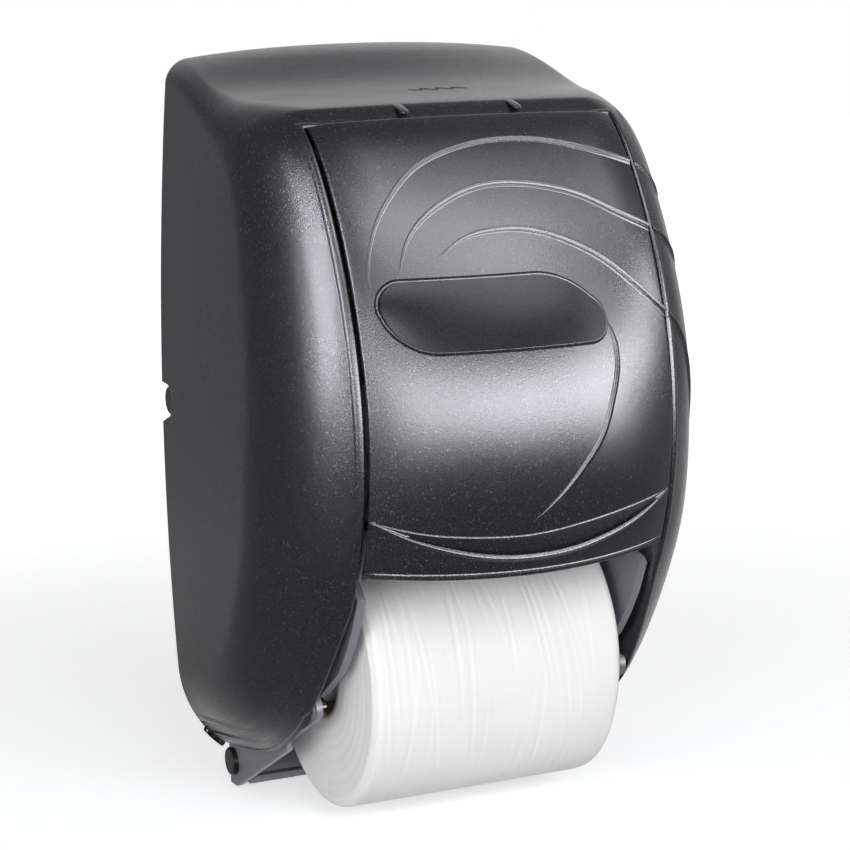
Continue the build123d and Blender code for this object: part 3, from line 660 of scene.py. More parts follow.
@dataclass(frozen=True)
class MouldedPlastic:
    """Plain moulded plastic with a faint moulding grain."""

    name: str
    colour: Triple
    roughness: float = 0.45
    grain_size: float = 0.8
    grain_depth: float = 0.03
    variation: float = 0.12
    unevenness: float = 0.06
    cloud_scale: float = 25.0

    def material(self) -> bpy.types.Material:
        """Builds the finish's nodes.

        Returns:
            The material.
        """
        graph = Graph(self.name)
        grain = graph.noise(1 / (self.grain_size * MM), 2.0)
        cloud = graph.noise(self.cloud_scale, 3.0)
        low = tuple(c * (1 - self.variation) for c in self.colour)
        high = tuple(c * (1 + self.variation) for c in self.colour)
        graph.set(
            Base_Color=graph.ramp(cloud, (0.3, low), (0.7, high)),
            Roughness=graph.span(cloud, self.roughness - self.unevenness, self.roughness + self.unevenness),
        )
        graph.bump(grain, 0.35, self.grain_depth * MM)
        return graph.material


@dataclass(frozen=True)
class PlatedSteel:
    """Bright plated or drawn steel."""

    name: str
    colour: Triple = (0.62, 0.62, 0.64)
    roughness: float = 0.28
    stretch: Triple = (1.0, 1.0, 1.0)
    line_scale: float = 700.0
    line_shade: float = 0.8

    def material(self) -> bpy.types.Material:
        """Builds the finish's nodes.

        Returns:
            The material.
        """
        graph = Graph(self.name)
        place = graph.node("ShaderNodeMapping", Vector=graph.place, Scale=self.stretch)
        lines = graph.noise(self.line_scale, 4.0, Vector=place.outputs["Vector"])
        dim = tuple(self.line_shade * c for c in self.colour)
        graph.set(
            Base_Color=graph.ramp(lines, (0.3, dim), (0.7, self.colour)),
            Metallic=1.0,
            Roughness=graph.span(lines, self.roughness - 0.08, self.roughness + 0.1),
        )
        graph.bump(lines, 0.2, 0.02 * MM)
        return graph.material


@dataclass(frozen=True)
class SoftPaper:
    """White tissue, or raw card, with fibres."""

    name: str
    colour: Triple = (0.86, 0.86, 0.865)
    fibre_size: float = 1.4
    depth: float = 0.12
    cloud_scale: float = 22.0
    cloud_shade: float = 0.955

    def material(self) -> bpy.types.Material:
        """Builds the finish's nodes.

        Returns:
            The material.
        """
        graph = Graph(self.name)
        fibres = graph.noise(1 / (self.fibre_size * MM), 5.0, Roughness=0.65)
        cloud = graph.noise(self.cloud_scale, 3.0)
        dim = tuple(self.cloud_shade * c for c in self.colour)
        graph.set(
            Base_Color=graph.ramp(cloud, (0.35, dim), (0.65, self.colour)),
            Roughness=0.95,
            Sheen_Weight=0.15,
            Sheen_Roughness=0.6,
        )
        graph.bump(fibres, 0.4, self.depth * MM)
        return graph.material


class Finish(Enum):
    """The finishes of the dispenser."""

    SMOKE = PearlPlastic("smoke_pearl", (0.005, 0.0048, 0.0065), (0.026, 0.0245, 0.033))
    # The name plate keeps faint painted glints.
    PLATE = PearlPlastic(
        "name_plate_dark", (0.004, 0.004, 0.005), (0.016, 0.015, 0.02),
        specular=0.22, roughness=0.24, grain_depth=0.03, painted_glint=0.02,
    )
    GREY = MouldedPlastic("grey_moulding", (0.2, 0.193, 0.222))
    BLACK = MouldedPlastic("black_gloss", (0.006, 0.006, 0.007), roughness=0.14, grain_depth=0.004)
    # Painted shade: the key slit is drawn as a near-black, rough strip that stands in for the shade inside
    # the slit.
    SLIT_SHADE = MouldedPlastic("slit_painted_shade", (0.008, 0.0075, 0.01), roughness=0.6)
    SPINDLE = MouldedPlastic("spindle_grey", (0.24, 0.24, 0.26), roughness=0.4)
    RUBBER = MouldedPlastic("washer_rubber", (0.02, 0.02, 0.02), roughness=0.8)
    STEEL = PlatedSteel("plated_steel")
    WIRE = PlatedSteel("spring_wire", roughness=0.22)
    SHEET_STEEL = PlatedSteel("brushed_sheet", (0.55, 0.55, 0.57), 0.34, (0.15, 1.0, 1.0))
    TISSUE = SoftPaper("tissue")
    CARD = SoftPaper("raw_card", (0.42, 0.33, 0.23), 0.9, 0.06)


class Wardrobe:
    """Makes each finish once and puts it on pieces."""

    def __init__(self) -> None:
        """Starts with no material made."""
        self.made: dict[Finish, bpy.types.Material] = {}

    def dress(self, piece: bpy.types.Object, finish: Finish) -> None:
        """Puts a finish on a piece.

        Args:
            piece: the object.
            finish: what it is made of.
        """
        if finish not in self.made:
            self.made[finish] = finish.value.material()
        piece.data.materials.clear()
        piece.data.materials.append(self.made[finish])


# Sub-assemblies


def finish_piece(piece: bpy.types.Object, body: str, slot: str, *nodes: str) -> None:
    """Puts a piece on its body and hides the CAD nodes that it replaces.

    Args:
        piece: the object.
        body: the CAD body it moves with.
        slot: a material slot name, which is not used.
        nodes: CAD nodes that it replaces.
    """
    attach(piece, body)
    if nodes:
        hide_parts(*nodes)
    LOG.info("%s rides on %s, %d faces", piece.name, body, len(piece.data.polygons))


@dataclass
class Opening:
    """The cover's opening, which the panel fills and the roll shows under."""

    form: CoverForm
    half_width: float = 67.0
    lip: Pairs = ((67.0, 100.0), (71.3, 62.0), (76.3, 20.0))
    top_angle: float = 44.0
    bottom_angle: float = 99.8

    def lip_x(self, z: np.ndarray) -> np.ndarray:
        """Half width of the opening at each height."""
        widths, heights = zip(*self.lip[::-1])
        return np.interp(z, heights, widths)

    def holds(self, points: np.ndarray, growth: float) -> np.ndarray:
        """Whether points lie in the opening grown by a distance.

        Args:
            points: points on the surface.
            growth: the distance in millimetres.

        Returns:
            A truth value for each point.
        """
        x, y, z = points[..., 0], points[..., 1], points[..., 2]
        rise, depth = z - self.form.fan_z, self.form.fan_y - y
        turn = math.radians(self.top_angle)
        below_top = rise * math.sin(turn) - depth * math.cos(turn) < growth
        return below_top & (np.abs(x) < self.lip_x(z) + growth)


@dataclass
class Hood:
    """The cover's outer shell, from the wall to the edge of its opening."""

    form: CoverForm
    opening: Opening
    wardrobe: Wardrobe
    wall: float = 2.3
    edge_radius: float = 1.1
    bead_height: float = 0.3
    bead_growth: float = 2.6
    return_depth: float = 10.0
    stud_y: float = -6.5
    stud_z: float = 172.0
    notch_radius: float = 7.2
    rear_setback: float = 0.8
    easing_start_z: float = 314.0
    easing: float = 0.03
    band_width: float = 11.0
    band_sink: float = 2.8
    skin_rows: int = 64
    skin_spacing: float = 1.15
    upper_bands: tuple[tuple[float, float, int], ...] = (
        (0.0, 8.0, 12), (8.0, 21.0, 20), (21.0, 34.0, 78), (34.0, 66.0, 40),
    )
    notch_columns: tuple[int, int, int] = (12, 30, 26)
    low_bend: Pair = (110.0, 138.0)
    low_columns: tuple[int, int] = (40, 44)
    plain_growths: tuple[float, ...] = (14.0, 11.6, 10.6, 9.0, 6.0, 4.2, 3.4)
    bead_foot: float = 0.35
    bead_inner: float = 1.8
    top_half_angle: float = 26.0
    top_fade_angle: float = 4.0
    lift_range: Pair = (1.0, 88.0)
    least_lift: float = 0.002
    fade_lift: float = 0.8
    hair: float = 0.02

    def rear_y(self, z: np.ndarray) -> np.ndarray:
        """Where the rear edge is, with its two notches.

        Args:
            z: heights.

        Returns:
            The rear edge's y at each height.
        """
        off = np.abs(z - self.stud_z)
        round_part = np.sqrt(np.maximum(self.notch_radius**2 - off**2, 0))
        return np.where(off < self.notch_radius, self.stud_y - round_part, -self.rear_setback)

    def columns(self) -> np.ndarray:
        """Directions round the front view, with more of them at corners and notches.

        Returns:
            The directions in degrees, from the left lower tip over the top to the right one.
        """
        form = self.form
        tip_x, tip_z = self.opening.lip[-1]
        tip = math.degrees(math.atan2(tip_x, tip_z - form.fan_z))
        half = form.side_half_width(np.array(self.stud_z))
        rises = [self.stud_z + side * self.notch_radius - form.fan_z for side in (1, -1)]
        notch_top, notch_bottom = (math.degrees(math.atan2(half, rise)) for rise in rises)
        above, beside, below = self.notch_columns
        bend_start, bend_end = self.low_bend
        bend_columns, tip_columns = self.low_columns
        sides = [np.linspace(low, high, count, endpoint=False) for low, high, count in self.upper_bands]
        sides.append(np.linspace(self.upper_bands[-1][1], notch_top - self.hair, above))
        sides.append(np.linspace(notch_top + self.hair, notch_bottom - self.hair, beside))
        sides.append(np.linspace(notch_bottom + self.hair, bend_start, below, endpoint=False))
        sides.append(np.linspace(bend_start, bend_end, bend_columns, endpoint=False))
        sides.append(np.linspace(bend_end, tip - 0.1, tip_columns))
        right = np.concatenate(sides)
        return np.concatenate([-right[:0:-1], right])

    def solve_lift(self, roll: np.ndarray, beyond: Callable[[np.ndarray], np.ndarray]) -> np.ndarray:
        """Finds where each direction's line over the surface passes a boundary.

        Args:
            roll: directions round the front view.
            beyond: function of surface points, true once the boundary is passed.

        Returns:
            The lift in degrees at the boundary.
        """
        low, high = (np.full(roll.shape, end) for end in self.lift_range)
        low, high = narrowed(low, high, lambda lift: ~beyond(self.form.along(roll, lift)), halvings=22)
        return (low + high) / 2

    def edge_rows(self) -> list[Pair]:
        """Rows by the opening.

        Returns:
            Pairs of distance from the opening and height over the surface.
        """
        radius, raised = self.edge_radius, self.bead_height
        rows = [(growth, 0.0) for growth in (*self.plain_growths, self.bead_growth + self.bead_foot)]
        rows += [(self.bead_growth, raised), (self.bead_inner, raised)]
        rows += [(growth, raised - drop) for growth, drop in round_edge(radius)]
        return rows + [(0.0, raised - radius - 1.0), (0.0, -self.return_depth)]

    def build(self) -> bpy.types.Object:
        """Builds the shell.

        Returns:
            The hood.
        """
        form, roll = self.form, self.columns()
        rear = self.solve_lift(roll, lambda p: p[..., 1] < self.rear_y(p[..., 2]))
        edge_rows = self.edge_rows()
        lifts = []
        for growth, _ in edge_rows:
            found = self.solve_lift(roll, lambda p, g=growth: self.opening.holds(p, g))
            lifts.append(np.maximum(found, rear + self.least_lift))
        share = np.linspace(0, 1, self.skin_rows) ** self.skin_spacing
        points = [form.along(roll, rear + (lifts[0] - rear) * s) for s in share[:-1]]
        fade = np.clip((lifts[0] - rear) / self.fade_lift, 0, 1)[:, None]
        over_top = np.clip((self.top_half_angle - np.abs(roll)) / self.top_fade_angle, 0, 1)[:, None]
        for (growth, height), lift in zip(edge_rows, lifts):
            sunk = np.clip((self.band_width - growth) / (self.band_width - self.bead_growth), 0, 1)
            place = form.along(roll, lift)
            points.append(place + form.outward(place) * (height * fade - self.band_sink * sunk * over_top))
        skin = np.stack(points)
        skin[..., 2] -= self.easing * np.maximum(skin[..., 2] - self.easing_start_z, 0) ** 2
        hood = cover_sheet("cover_hood", skin, form, self.wall)
        self.wardrobe.dress(hood, Finish.SMOKE)
        finish_piece(hood, "cover", "smoke_plastic", "hood")
        return hood


@dataclass
class FrontPanel:
    """The curved panel that fills the opening, with its scooped crescent."""

    form: CoverForm
    opening: Opening
    wardrobe: Wardrobe
    gap: float = 1.2
    wall: float = 2.0
    edge_radius: float = 1.0
    return_depth: float = 9.0
    scoop_depth: float = 1.3
    crescent_top: Pairs = (
        (-64.2, 137.2), (-52.9, 133.5), (-37.9, 130.6), (-22.1, 129.2), (-5.2, 128.8),
        (13.5, 130.6), (34.2, 133.3), (64.2, 137.1),
    )
    crescent_bottom: Pairs = (
        (-64.2, 136.8), (-52.7, 130.4), (-37.3, 124.5), (-21.0, 120.5), (-3.7, 119.0),
        (15.4, 120.1), (30.2, 123.2), (45.2, 127.8), (64.2, 136.7),
    )
    scoop_gap: float = 0.25
    scoop_full_width: float = 6.0
    scoop_slope: Pairs = (
        (0.0, 0.0), (0.03, 0.12), (0.12, 0.3), (0.3, 0.55), (0.5, 0.75), (0.7, 0.9), (0.88, 1.0),
    )
    scoop_step: Pairs = ((1.0, 1.0), (0.75, 0.9), (0.4, 0.3), (0.15, -0.04), (0.0, -0.1))
    scoop_power: float = 0.6
    swell_fall: float = 3.0
    step_width: float = 0.9
    mean_reach: float = 195.0
    flat_margin: float = 0.8
    lip_margin: float = 1.6
    lip_rows: Pair = (2.3, 1.6)
    lip_depth: float = 0.35
    face_columns: int = 96
    face_rows: int = 92
    lower_rows: int = 16

    def rim(self) -> list[Pair]:
        """The rounded rim, from the return inwards.

        Returns:
            Pairs of distance from the edge and depth.
        """
        flat_part = [(0.0, self.return_depth), (0.0, self.edge_radius + 1.0)]
        return flat_part + round_edge(self.edge_radius)[::-1]

    def columns(self) -> tuple[np.ndarray, np.ndarray]:
        """Columns across the panel.

        Returns:
            Their distances from the middle, and how deep each lies.
        """
        half = self.opening.half_width - self.gap
        flat = half - self.edge_radius - self.flat_margin
        across = [(-half + e, d) for e, d in self.rim()]
        across += [(x, 0.0) for x in np.linspace(-flat, flat, self.face_columns)]
        across += [(half - e, d) for e, d in self.rim()[::-1]]
        x, depth = zip(*across)
        return np.array(x), np.array(depth)

    def rows(self, x: np.ndarray) -> tuple[np.ndarray, np.ndarray]:
        """Fan angles and depths of the panel's rows, from its top edge down.

        Args:
            x: distance of each column from the middle.

        Returns:
            Both as arrays of rows by columns.
        """
        spread = math.degrees(1 / self.mean_reach)
        first = self.opening.top_angle + self.gap * spread
        last = self.opening.bottom_angle
        tip = self.crescent_top[-1][0]
        held = np.clip(x, -tip, tip)
        upper_z = NaturalSpline(*zip(*self.crescent_top))(held)
        lower_z = np.minimum(NaturalSpline(*zip(*self.crescent_bottom))(held), upper_z - self.scoop_gap)
        upper = self.form.angle_at_height(x, upper_z)
        lower = self.form.angle_at_height(x, lower_z)
        fullness = np.clip((upper_z - lower_z - self.scoop_gap) / self.scoop_full_width, 0, 1)
        scoop = self.scoop_depth * fullness**self.scoop_power
        start = first + (self.edge_radius + self.flat_margin) * spread
        end = last - (self.edge_radius + self.lip_margin) * spread
        step = np.minimum(self.step_width * spread, 0.3 * (lower - upper))
        below = lower + step * 0.5
        rows = [(first + e * spread, d) for e, d in self.rim()]
        rows += [(start + (upper - start) * share, 0.0) for share in np.linspace(0, 1, self.face_rows)[:-1]]
        rows += [(upper + (lower - upper) * share, scoop * dip) for share, dip in self.scoop_slope]
        rows += [(lower - step * (share - 0.5), scoop * dip) for share, dip in self.scoop_step]
        for share in np.linspace(0, 1, self.lower_rows)[1:]:
            swell = self.scoop_step[-1][1] * max(0.0, 1 - self.swell_fall * share)
            rows.append((below + (end - below) * share, scoop * swell))
        rows += [(last - back * spread, self.lip_depth) for back in self.lip_rows]
        rows += [(last - e * spread, d) for e, d in self.rim()[::-1]]
        angles = np.stack([np.broadcast_to(angle, x.shape) for angle, _ in rows])
        return angles, np.stack([np.broadcast_to(depth, x.shape) for _, depth in rows])

    def build(self) -> bpy.types.Object:
        """Builds the panel.

        Returns:
            The panel.
        """
        form = self.form
        x, side_depth = self.columns()
        angles, depths = self.rows(x)
        place = form.at(x[None, :], angles)
        points = place - form.outward(place) * np.maximum(depths, side_depth[None, :])[..., None]
        panel = cover_sheet("cover_front_panel", points, form, self.wall)
        self.wardrobe.dress(panel, Finish.SMOKE)
        finish_piece(panel, "cover", "smoke_plastic", "front_panel")
        return panel


@dataclass
class RaisedLine:
    """A narrow moulding that follows a line over the cover's surface."""

    name: str
    points: Pairs
    width: float = 2.2
    height: float = 0.8
    groove: Pair = (0.0, 0.0)
    crest: float = 0.0
    taper: Pair = (0.1, 0.02)
    widen: Pair = (1.0, 1.0)
    steps: int = 120
    closed: bool = False
    smooth: bool = True
    by_height: bool = True
    sink: float = 0.35

    def profile(self, along: float) -> list[Pair]:
        """Cross-section of the moulding.

        Args:
            along: how far along the line, from 0 to 1.

        Returns:
            Pairs of offset across and height over the surface.
        """
        shrink = 1.0
        if not self.closed:
            lead, tail = self.taper
            shrink = min(1.0, along / lead if lead else 1.0, (1 - along) / tail if tail else 1.0)
            shrink = math.sin(max(0.0, shrink) * math.pi / 2)
        groove = self.groove[0] + (self.groove[1] - self.groove[0]) * along
        wide = self.widen[0] + (self.widen[1] - self.widen[0]) * along
        half = self.width / 2 * wide * (0.25 + 0.75 * shrink)
        high = self.height * shrink
        crest = self.crest
        middle = (crest + 1.0) / 2
        rise = [(-1.2, -1.0), (-1.0, 0.0), (0.55 * crest - 0.45, 0.58), (crest - 0.16, 0.93), (crest, 1.0)]
        dip = 0.35 * groove
        fall = [(middle - 0.2, 0.66), (middle - 0.06, 0.5 - dip), (middle + 0.06, 0.46 - dip)]
        fall += [(middle + 0.2, 0.42 + 0.12 * groove), (1.0, 0.0), (1.2, -1.0)]
        return [(a * half, b * high if b >= 0 else -self.sink) for a, b in rise + fall]

    def rows(self, form: CoverForm) -> np.ndarray:
        """Points of the moulding over the cover.

        Args:
            form: the cover's surface.

        Returns:
            Rows of points, one row for each step along the line.
        """
        line = through_points(np.array(self.points), self.steps, self.smooth and len(self.points) > 2)
        angle = form.angle_at_height(line[:, 0], line[:, 1]) if self.by_height else line[:, 1]
        centre = form.at(line[:, 0], angle)
        out = form.outward(centre)
        if self.closed:
            ahead = np.roll(centre[:-1], -1, axis=0) - np.roll(centre[:-1], 1, axis=0)
            ahead = np.concatenate([ahead, ahead[:1]])
        else:
            ahead = np.gradient(centre, axis=0)
        across = np.cross(ahead, out)
        across /= np.linalg.norm(across, axis=1, keepdims=True)
        rows = []
        for i in range(self.steps):
            shape = self.profile(i / (self.steps - 1))
            rows.append([centre[i] + across[i] * a + out[i] * b for a, b in shape])
        return np.array(rows)


@dataclass
class CoverLines:
    """The raised lines on the panel and on the hood beside it, and the bead round the name plate."""

    form: CoverForm
    wardrobe: Wardrobe
    panel_lines: tuple[RaisedLine, ...] = (
        RaisedLine(
            "first_arch",
            (
                (-58.3, 219.5), (-59.4, 228.5), (-57.9, 237.1), (-52.2, 250.1), (-44.4, 259.4),
                (-33.4, 268.2), (-18.1, 274.3), (-1.0, 277.6), (13.0, 278.2), (28.4, 276.8),
                (44.9, 272.9), (65.2, 266.7),
            ),
            width=3.0, height=0.85, crest=-0.6, taper=(0.35, 0.0), widen=(0.6, 1.1), steps=170,
        ),
        RaisedLine(
            "second_arch",
            (
                (-48.2, 231.0), (-44.1, 240.6), (-37.3, 248.3), (-24.5, 256.1), (-10.3, 260.7),
                (4.3, 261.6), (19.6, 259.6), (36.2, 254.6), (48.6, 248.4), (65.2, 241.0),
            ),
            width=3.6, height=0.95, crest=-0.6, taper=(0.3, 0.0), widen=(0.65, 1.15),
            groove=(0.0, 0.8), steps=160,
        ),
        RaisedLine(
            "third_arch",
            (
                (-32.2, 236.2), (-20.9, 242.3), (-9.1, 244.5), (0.5, 244.6), (12.6, 242.3),
                (24.8, 237.5), (36.9, 230.6), (49.8, 220.2), (65.3, 207.6),
            ),
            width=3.8, height=0.95, crest=-0.6, taper=(0.25, 0.0), widen=(0.65, 1.15),
            groove=(0.0, 0.85), steps=150,
        ),
        RaisedLine(
            "swoosh",
            (
                (31.3, 208.5), (33.6, 200.4), (33.3, 190.6), (29.1, 178.2), (23.2, 164.7),
                (15.6, 154.8), (8.2, 146.3), (-0.7, 137.9), (-5.7, 133.6),
            ),
            width=3.4, height=0.8, crest=0.3, taper=(0.12, 0.45), widen=(0.8, 1.0),
            groove=(0.4, 0.4), steps=140,
        ),
    )
    scoop_lines: tuple[RaisedLine, ...] = (
        RaisedLine(
            "scoop_top", FrontPanel.crescent_top, width=1.1, height=0.32, taper=(0.08, 0.08), steps=130,
        ),
        RaisedLine(
            "bottom_lip", ((-63.5, 99.0), (63.5, 99.0)), width=1.5, height=0.35, by_height=False, steps=90,
            taper=(0.02, 0.02),
        ),
        RaisedLine(
            "scoop_bottom", FrontPanel.crescent_bottom, width=2.8, height=0.7, crest=-0.3, taper=(0.4, 0.4),
            steps=130,
        ),
    )
    hood_lines: tuple[RaisedLine, ...] = (
        RaisedLine(
            "first_arch_end", ((67.9, 265.6), (73.0, 263.4), (79.0, 258.4), (84.5, 250.5)),
            width=3.0, height=0.8, crest=-0.5, taper=(0.0, 0.3), steps=40,
        ),
        RaisedLine(
            "second_arch_end", ((67.9, 239.9), (74.0, 236.9), (80.5, 231.4), (86.0, 223.0)),
            width=3.4, height=0.85, crest=-0.5, taper=(0.0, 0.3), groove=(0.8, 0.4), steps=40,
        ),
        RaisedLine(
            "third_arch_end", ((67.9, 206.6), (74.0, 201.0), (80.0, 191.0), (84.0, 176.0), (86.0, 160.0)),
            width=3.4, height=0.85, crest=-0.5, taper=(0.0, 0.45), groove=(0.8, 0.4), steps=60,
        ),
        RaisedLine(
            "top_rib_left", ((-23.5, 40.6), (-23.5, 43.3)), width=3.4, height=0.12, by_height=False, steps=20,
        ),
        RaisedLine(
            "top_rib_right", ((26.0, 40.6), (26.0, 43.3)), width=3.4, height=0.12, by_height=False, steps=20,
        ),
    )
    mark_teeth: Pairs = (
        (-4.0, 0.0), (1.651, 1.0), (2.279, -1.0), (8.558, 1.0), (9.605, -1.0), (15.465, 1.0),
        (16.721, -1.0), (23.0, 0.4),
    )
    mark_angle: float = 31.9
    mark_swing: float = 0.75

    def join(self, name: str, lines: tuple[RaisedLine, ...], finish: Finish) -> bpy.types.Object:
        """Builds several lines as one piece.

        Args:
            name: the piece's name.
            lines: the lines in it.
            finish: what it is made of.

        Returns:
            The piece.
        """
        shape = bmesh.new()
        for line in lines:
            part = surface_grid(line.name, line.rows(self.form))
            face_outward(part, self.form.middle)
            mesh = part.data
            shape.from_mesh(mesh)
            bpy.data.objects.remove(part)
            bpy.data.meshes.remove(mesh)
        piece = mesh_piece(name, shape)
        self.wardrobe.dress(piece, finish)
        finish_piece(piece, "cover", "smoke_plastic")
        return piece

    def plate_outline(self) -> list[Pair]:
        """Points of the closed line round the name plate.

        Returns:
            The points, with the first again at the end.
        """
        arcs = (
            ((3.5, 227.6), (16.0, 224.4), (25.4, 217.6)),
            ((25.4, 217.6), (30.6, 210.2), (28.7, 203.5)),
            ((28.7, 203.5), (25.6, 201.7), (21.5, 201.1)),
            ((-39.3, 201.1), (-50.5, 205.2), (-57.1, 214.4)),
            ((-57.1, 214.4), (-56.6, 223.6), (-50.4, 227.6)),
        )
        outline = [point for arc in arcs for point in self.arc_points(*arc)]
        return [*outline, outline[0]]

    @staticmethod
    def arc_points(start: Pair, middle: Pair, end: Pair, count: int = 14) -> list[Pair]:
        """Points of the arc through three places, gone round clockwise.

        Args:
            start: the first place.
            middle: a place on the arc.
            end: the last place.
            count: how many points to return.

        Returns:
            The points, evenly spread.
        """
        (ax, ay), (bx, by), (cx, cy) = start, middle, end
        a2, b2, c2 = ax**2 + ay**2, bx**2 + by**2, cx**2 + cy**2
        d = 2 * (ax * (by - cy) + bx * (cy - ay) + cx * (ay - by))
        ux = (a2 * (by - cy) + b2 * (cy - ay) + c2 * (ay - by)) / d
        uy = (a2 * (cx - bx) + b2 * (ax - cx) + c2 * (bx - ax)) / d
        first, last = math.atan2(ay - uy, ax - ux), math.atan2(cy - uy, cx - ux)
        while last > first:
            last -= 2 * math.pi
        radius = math.hypot(ax - ux, ay - uy)
        turns = np.linspace(first, last, count)
        return [(ux + radius * math.cos(turn), uy + radius * math.sin(turn)) for turn in turns]

    def zigzag(self) -> Pairs:
        """Corners of the key slit's mark, as pairs of x and fan angle."""
        return tuple((x, self.mark_angle + self.mark_swing * side) for x, side in self.mark_teeth)

    def build(self) -> None:
        """Builds all the lines."""
        self.join("panel_raised_lines", self.panel_lines, Finish.SMOKE)
        self.join("scoop_rims", self.scoop_lines, Finish.SMOKE)
        self.join("hood_raised_lines", self.hood_lines, Finish.SMOKE)
        bead = RaisedLine(
            "plate_bead", tuple(self.plate_outline()), width=2.5, height=0.75, closed=True, smooth=False,
            steps=260,
        )
        self.join("name_plate_bead", (bead,), Finish.SMOKE)
        mark = RaisedLine(
            "key_mark", self.zigzag(), width=0.9, height=0.25, smooth=False, by_height=False, steps=150,
            taper=(0.02, 0.02),
        )
        # The key slit's mark gets the painted slit shade.
        self.join("key_slit_mark", (mark,), Finish.SLIT_SHADE)


@dataclass
class PaperRoll:
    """A wound roll of tissue with a soft, slightly creased skin."""

    name: str
    node: str
    body: str
    axis_z: float
    wardrobe: Wardrobe
    seed: int
    axis_y: float = -68.0
    radius: float = 59.0
    half_length: float = 56.0
    bore: float = 21.05
    rim_radius: float = 4.0
    turns: int = 220
    face_rows: int = 26
    corner_rows: int = 7
    skin_rows: int = 170
    bore_rows: int = 9
    creases: int = 120
    crease_lean: Pair = (-9.0, 2.0)
    crease_x: Pair = (-54, 54)
    crease_reach: Pair = (0.15, 0.55)
    crease_width: Pair = (0.5, 1.0)
    crease_depth: Pair = (0.08, 0.22)
    crease_bow: float = 5.0
    ridge_height: float = 0.6
    ridge_offset: float = 1.7
    waves: int = 5
    wave_height: float = 0.07
    wave_skew: float = 0.03
    layers: tuple[Pair, Pair] = ((0.06, 5.3), (0.12, 1.31))
    skin_fade: Pair = (6.0, 4.0)
    face_sink: float = 0.5
    shoulder_drop: float = 0.45

    def profile(self) -> list[Pair]:
        """Half section of the roll.

        Returns:
            Pairs of x and radius, from one face over the skin to the other.
        """
        rim = self.rim_radius
        end = self.half_length
        face = [(-end, r) for r in np.linspace(self.bore + 0.2, self.radius - rim, self.face_rows)]
        corner = [
            (-end + rim * (1 - math.cos(a)), self.radius - rim * (1 - math.sin(a)))
            for a in np.linspace(0, math.pi / 2, self.corner_rows)[1:]
        ]
        half = face + corner
        skin = [(x, self.radius) for x in np.linspace(-end + rim, end - rim, self.skin_rows)[1:-1]]
        return half + skin + [(-x, r) for x, r in half[::-1]]

    def creased(self, x: np.ndarray, turn: np.ndarray) -> np.ndarray:
        """Height of the skin's creases and slow waves.

        Args:
            x: distance along the roll.
            turn: angles round it, in radians.

        Returns:
            The height at each angle and distance.
        """
        generator = np.random.default_rng(self.seed)
        x, turn = x[None, :], turn[:, None]
        height = np.zeros((turn.size, x.size))
        for _ in range(self.creases):
            lean = generator.uniform(*self.crease_lean)
            at_turn = generator.uniform(0, 2 * math.pi)
            at_x = generator.uniform(*self.crease_x)
            reach = generator.uniform(*self.crease_reach)
            width = generator.uniform(*self.crease_width)
            depth = generator.uniform(*self.crease_depth)
            away = (turn - at_turn + math.pi) % (2 * math.pi) - math.pi
            across = (x - at_x - lean * away - self.crease_bow * away**2) / width
            fade = depth * np.exp(-((away / reach) ** 2))
            height -= fade * np.exp(-(across**2))
            height += self.ridge_height * fade * np.exp(-((across - self.ridge_offset) ** 2))
        for wave in range(self.waves):
            phase = generator.uniform(0, 6.28)
            height += self.wave_height * np.sin((wave + 2) * turn + phase + self.wave_skew * x)
        return height

    def build(self) -> bpy.types.Object:
        """Builds the roll.

        Returns:
            The roll.
        """
        x, radius = np.array(self.profile()).T
        turn = np.linspace(0, 2 * math.pi, self.turns + 1)
        outer, inner = self.skin_fade
        on_skin = np.clip((radius - self.radius + outer) / outer, 0, 1)
        on_skin *= np.clip((radius - self.bore) / inner, 0, 1)
        shoulder = self.shoulder_drop * (radius > self.radius - 3)
        swell = radius + self.creased(x, turn) * on_skin - shoulder
        on_face = (radius < self.radius - 1) & (radius > self.bore + 0.5)
        (fine, fine_rate), (coarse, coarse_rate) = self.layers
        layers = fine * np.sin(radius * fine_rate)
        layers = layers + coarse * np.sin(radius * coarse_rate + 2 * np.sin(turn)[:, None])
        end_shift = np.where(on_face, layers - self.face_sink, 0.0)
        place_x = x + np.sign(x) * np.minimum(end_shift, 0.0)
        place_y = self.axis_y + swell * np.sin(turn)[:, None]
        place_z = self.axis_z + swell * np.cos(turn)[:, None]
        points = np.stack([place_x, place_y, place_z], axis=-1)
        points[-1] = points[0]
        left, right = points[:, :1], points[:, -1:]
        bore = [right * (1 - share) + left * share for share in np.linspace(0, 1, self.bore_rows)[1:]]
        roll = surface_grid(self.name, np.concatenate([points] + bore, axis=1), closed=True)
        face_outward(roll, (0.0, self.axis_y, self.axis_z))
        self.wardrobe.dress(roll, Finish.TISSUE)
        finish_piece(roll, self.body, "paper", self.node)
        return roll


@dataclass
class Mechanism:
    """The pieces that keep their CAD shape and get a finish."""

    nodes: dict[str, bpy.types.Object]
    wardrobe: Wardrobe

    def dress(self) -> None:
        """Puts a finish on each CAD piece."""
        finishes = {
            Finish.GREY: (
                "back_plate", "side_rail_left", "side_rail_right", "swing_arm_left", "swing_arm_right",
                "hinge_arm_left", "hinge_arm_right", "latch_bracket", "latch_lever",
            ),
            Finish.BLACK: ("hinge_pins", "side_studs", "panel_screws", "arm_screws"),
            Finish.STEEL: ("rail_screws", "keeper_screws", "swing_pins", "latch_pin", "cross_bar"),
            Finish.SHEET_STEEL: ("latch_keeper",),
            Finish.RUBBER: ("friction_washers",),
            Finish.SPINDLE: ("lower_sleeve", "lower_plunger", "reserve_sleeve", "reserve_plunger"),
            Finish.WIRE: ("lower_spring", "reserve_spring", "latch_spring"),
            Finish.CARD: ("lower_core", "reserve_core"),
            Finish.PLATE: ("name_plate",),
        }
        for finish, names in finishes.items():
            for name in names:
                self.wardrobe.dress(self.nodes[name], finish)
                LOG.info("%s gets %s", name, finish.value.name)


# Studio


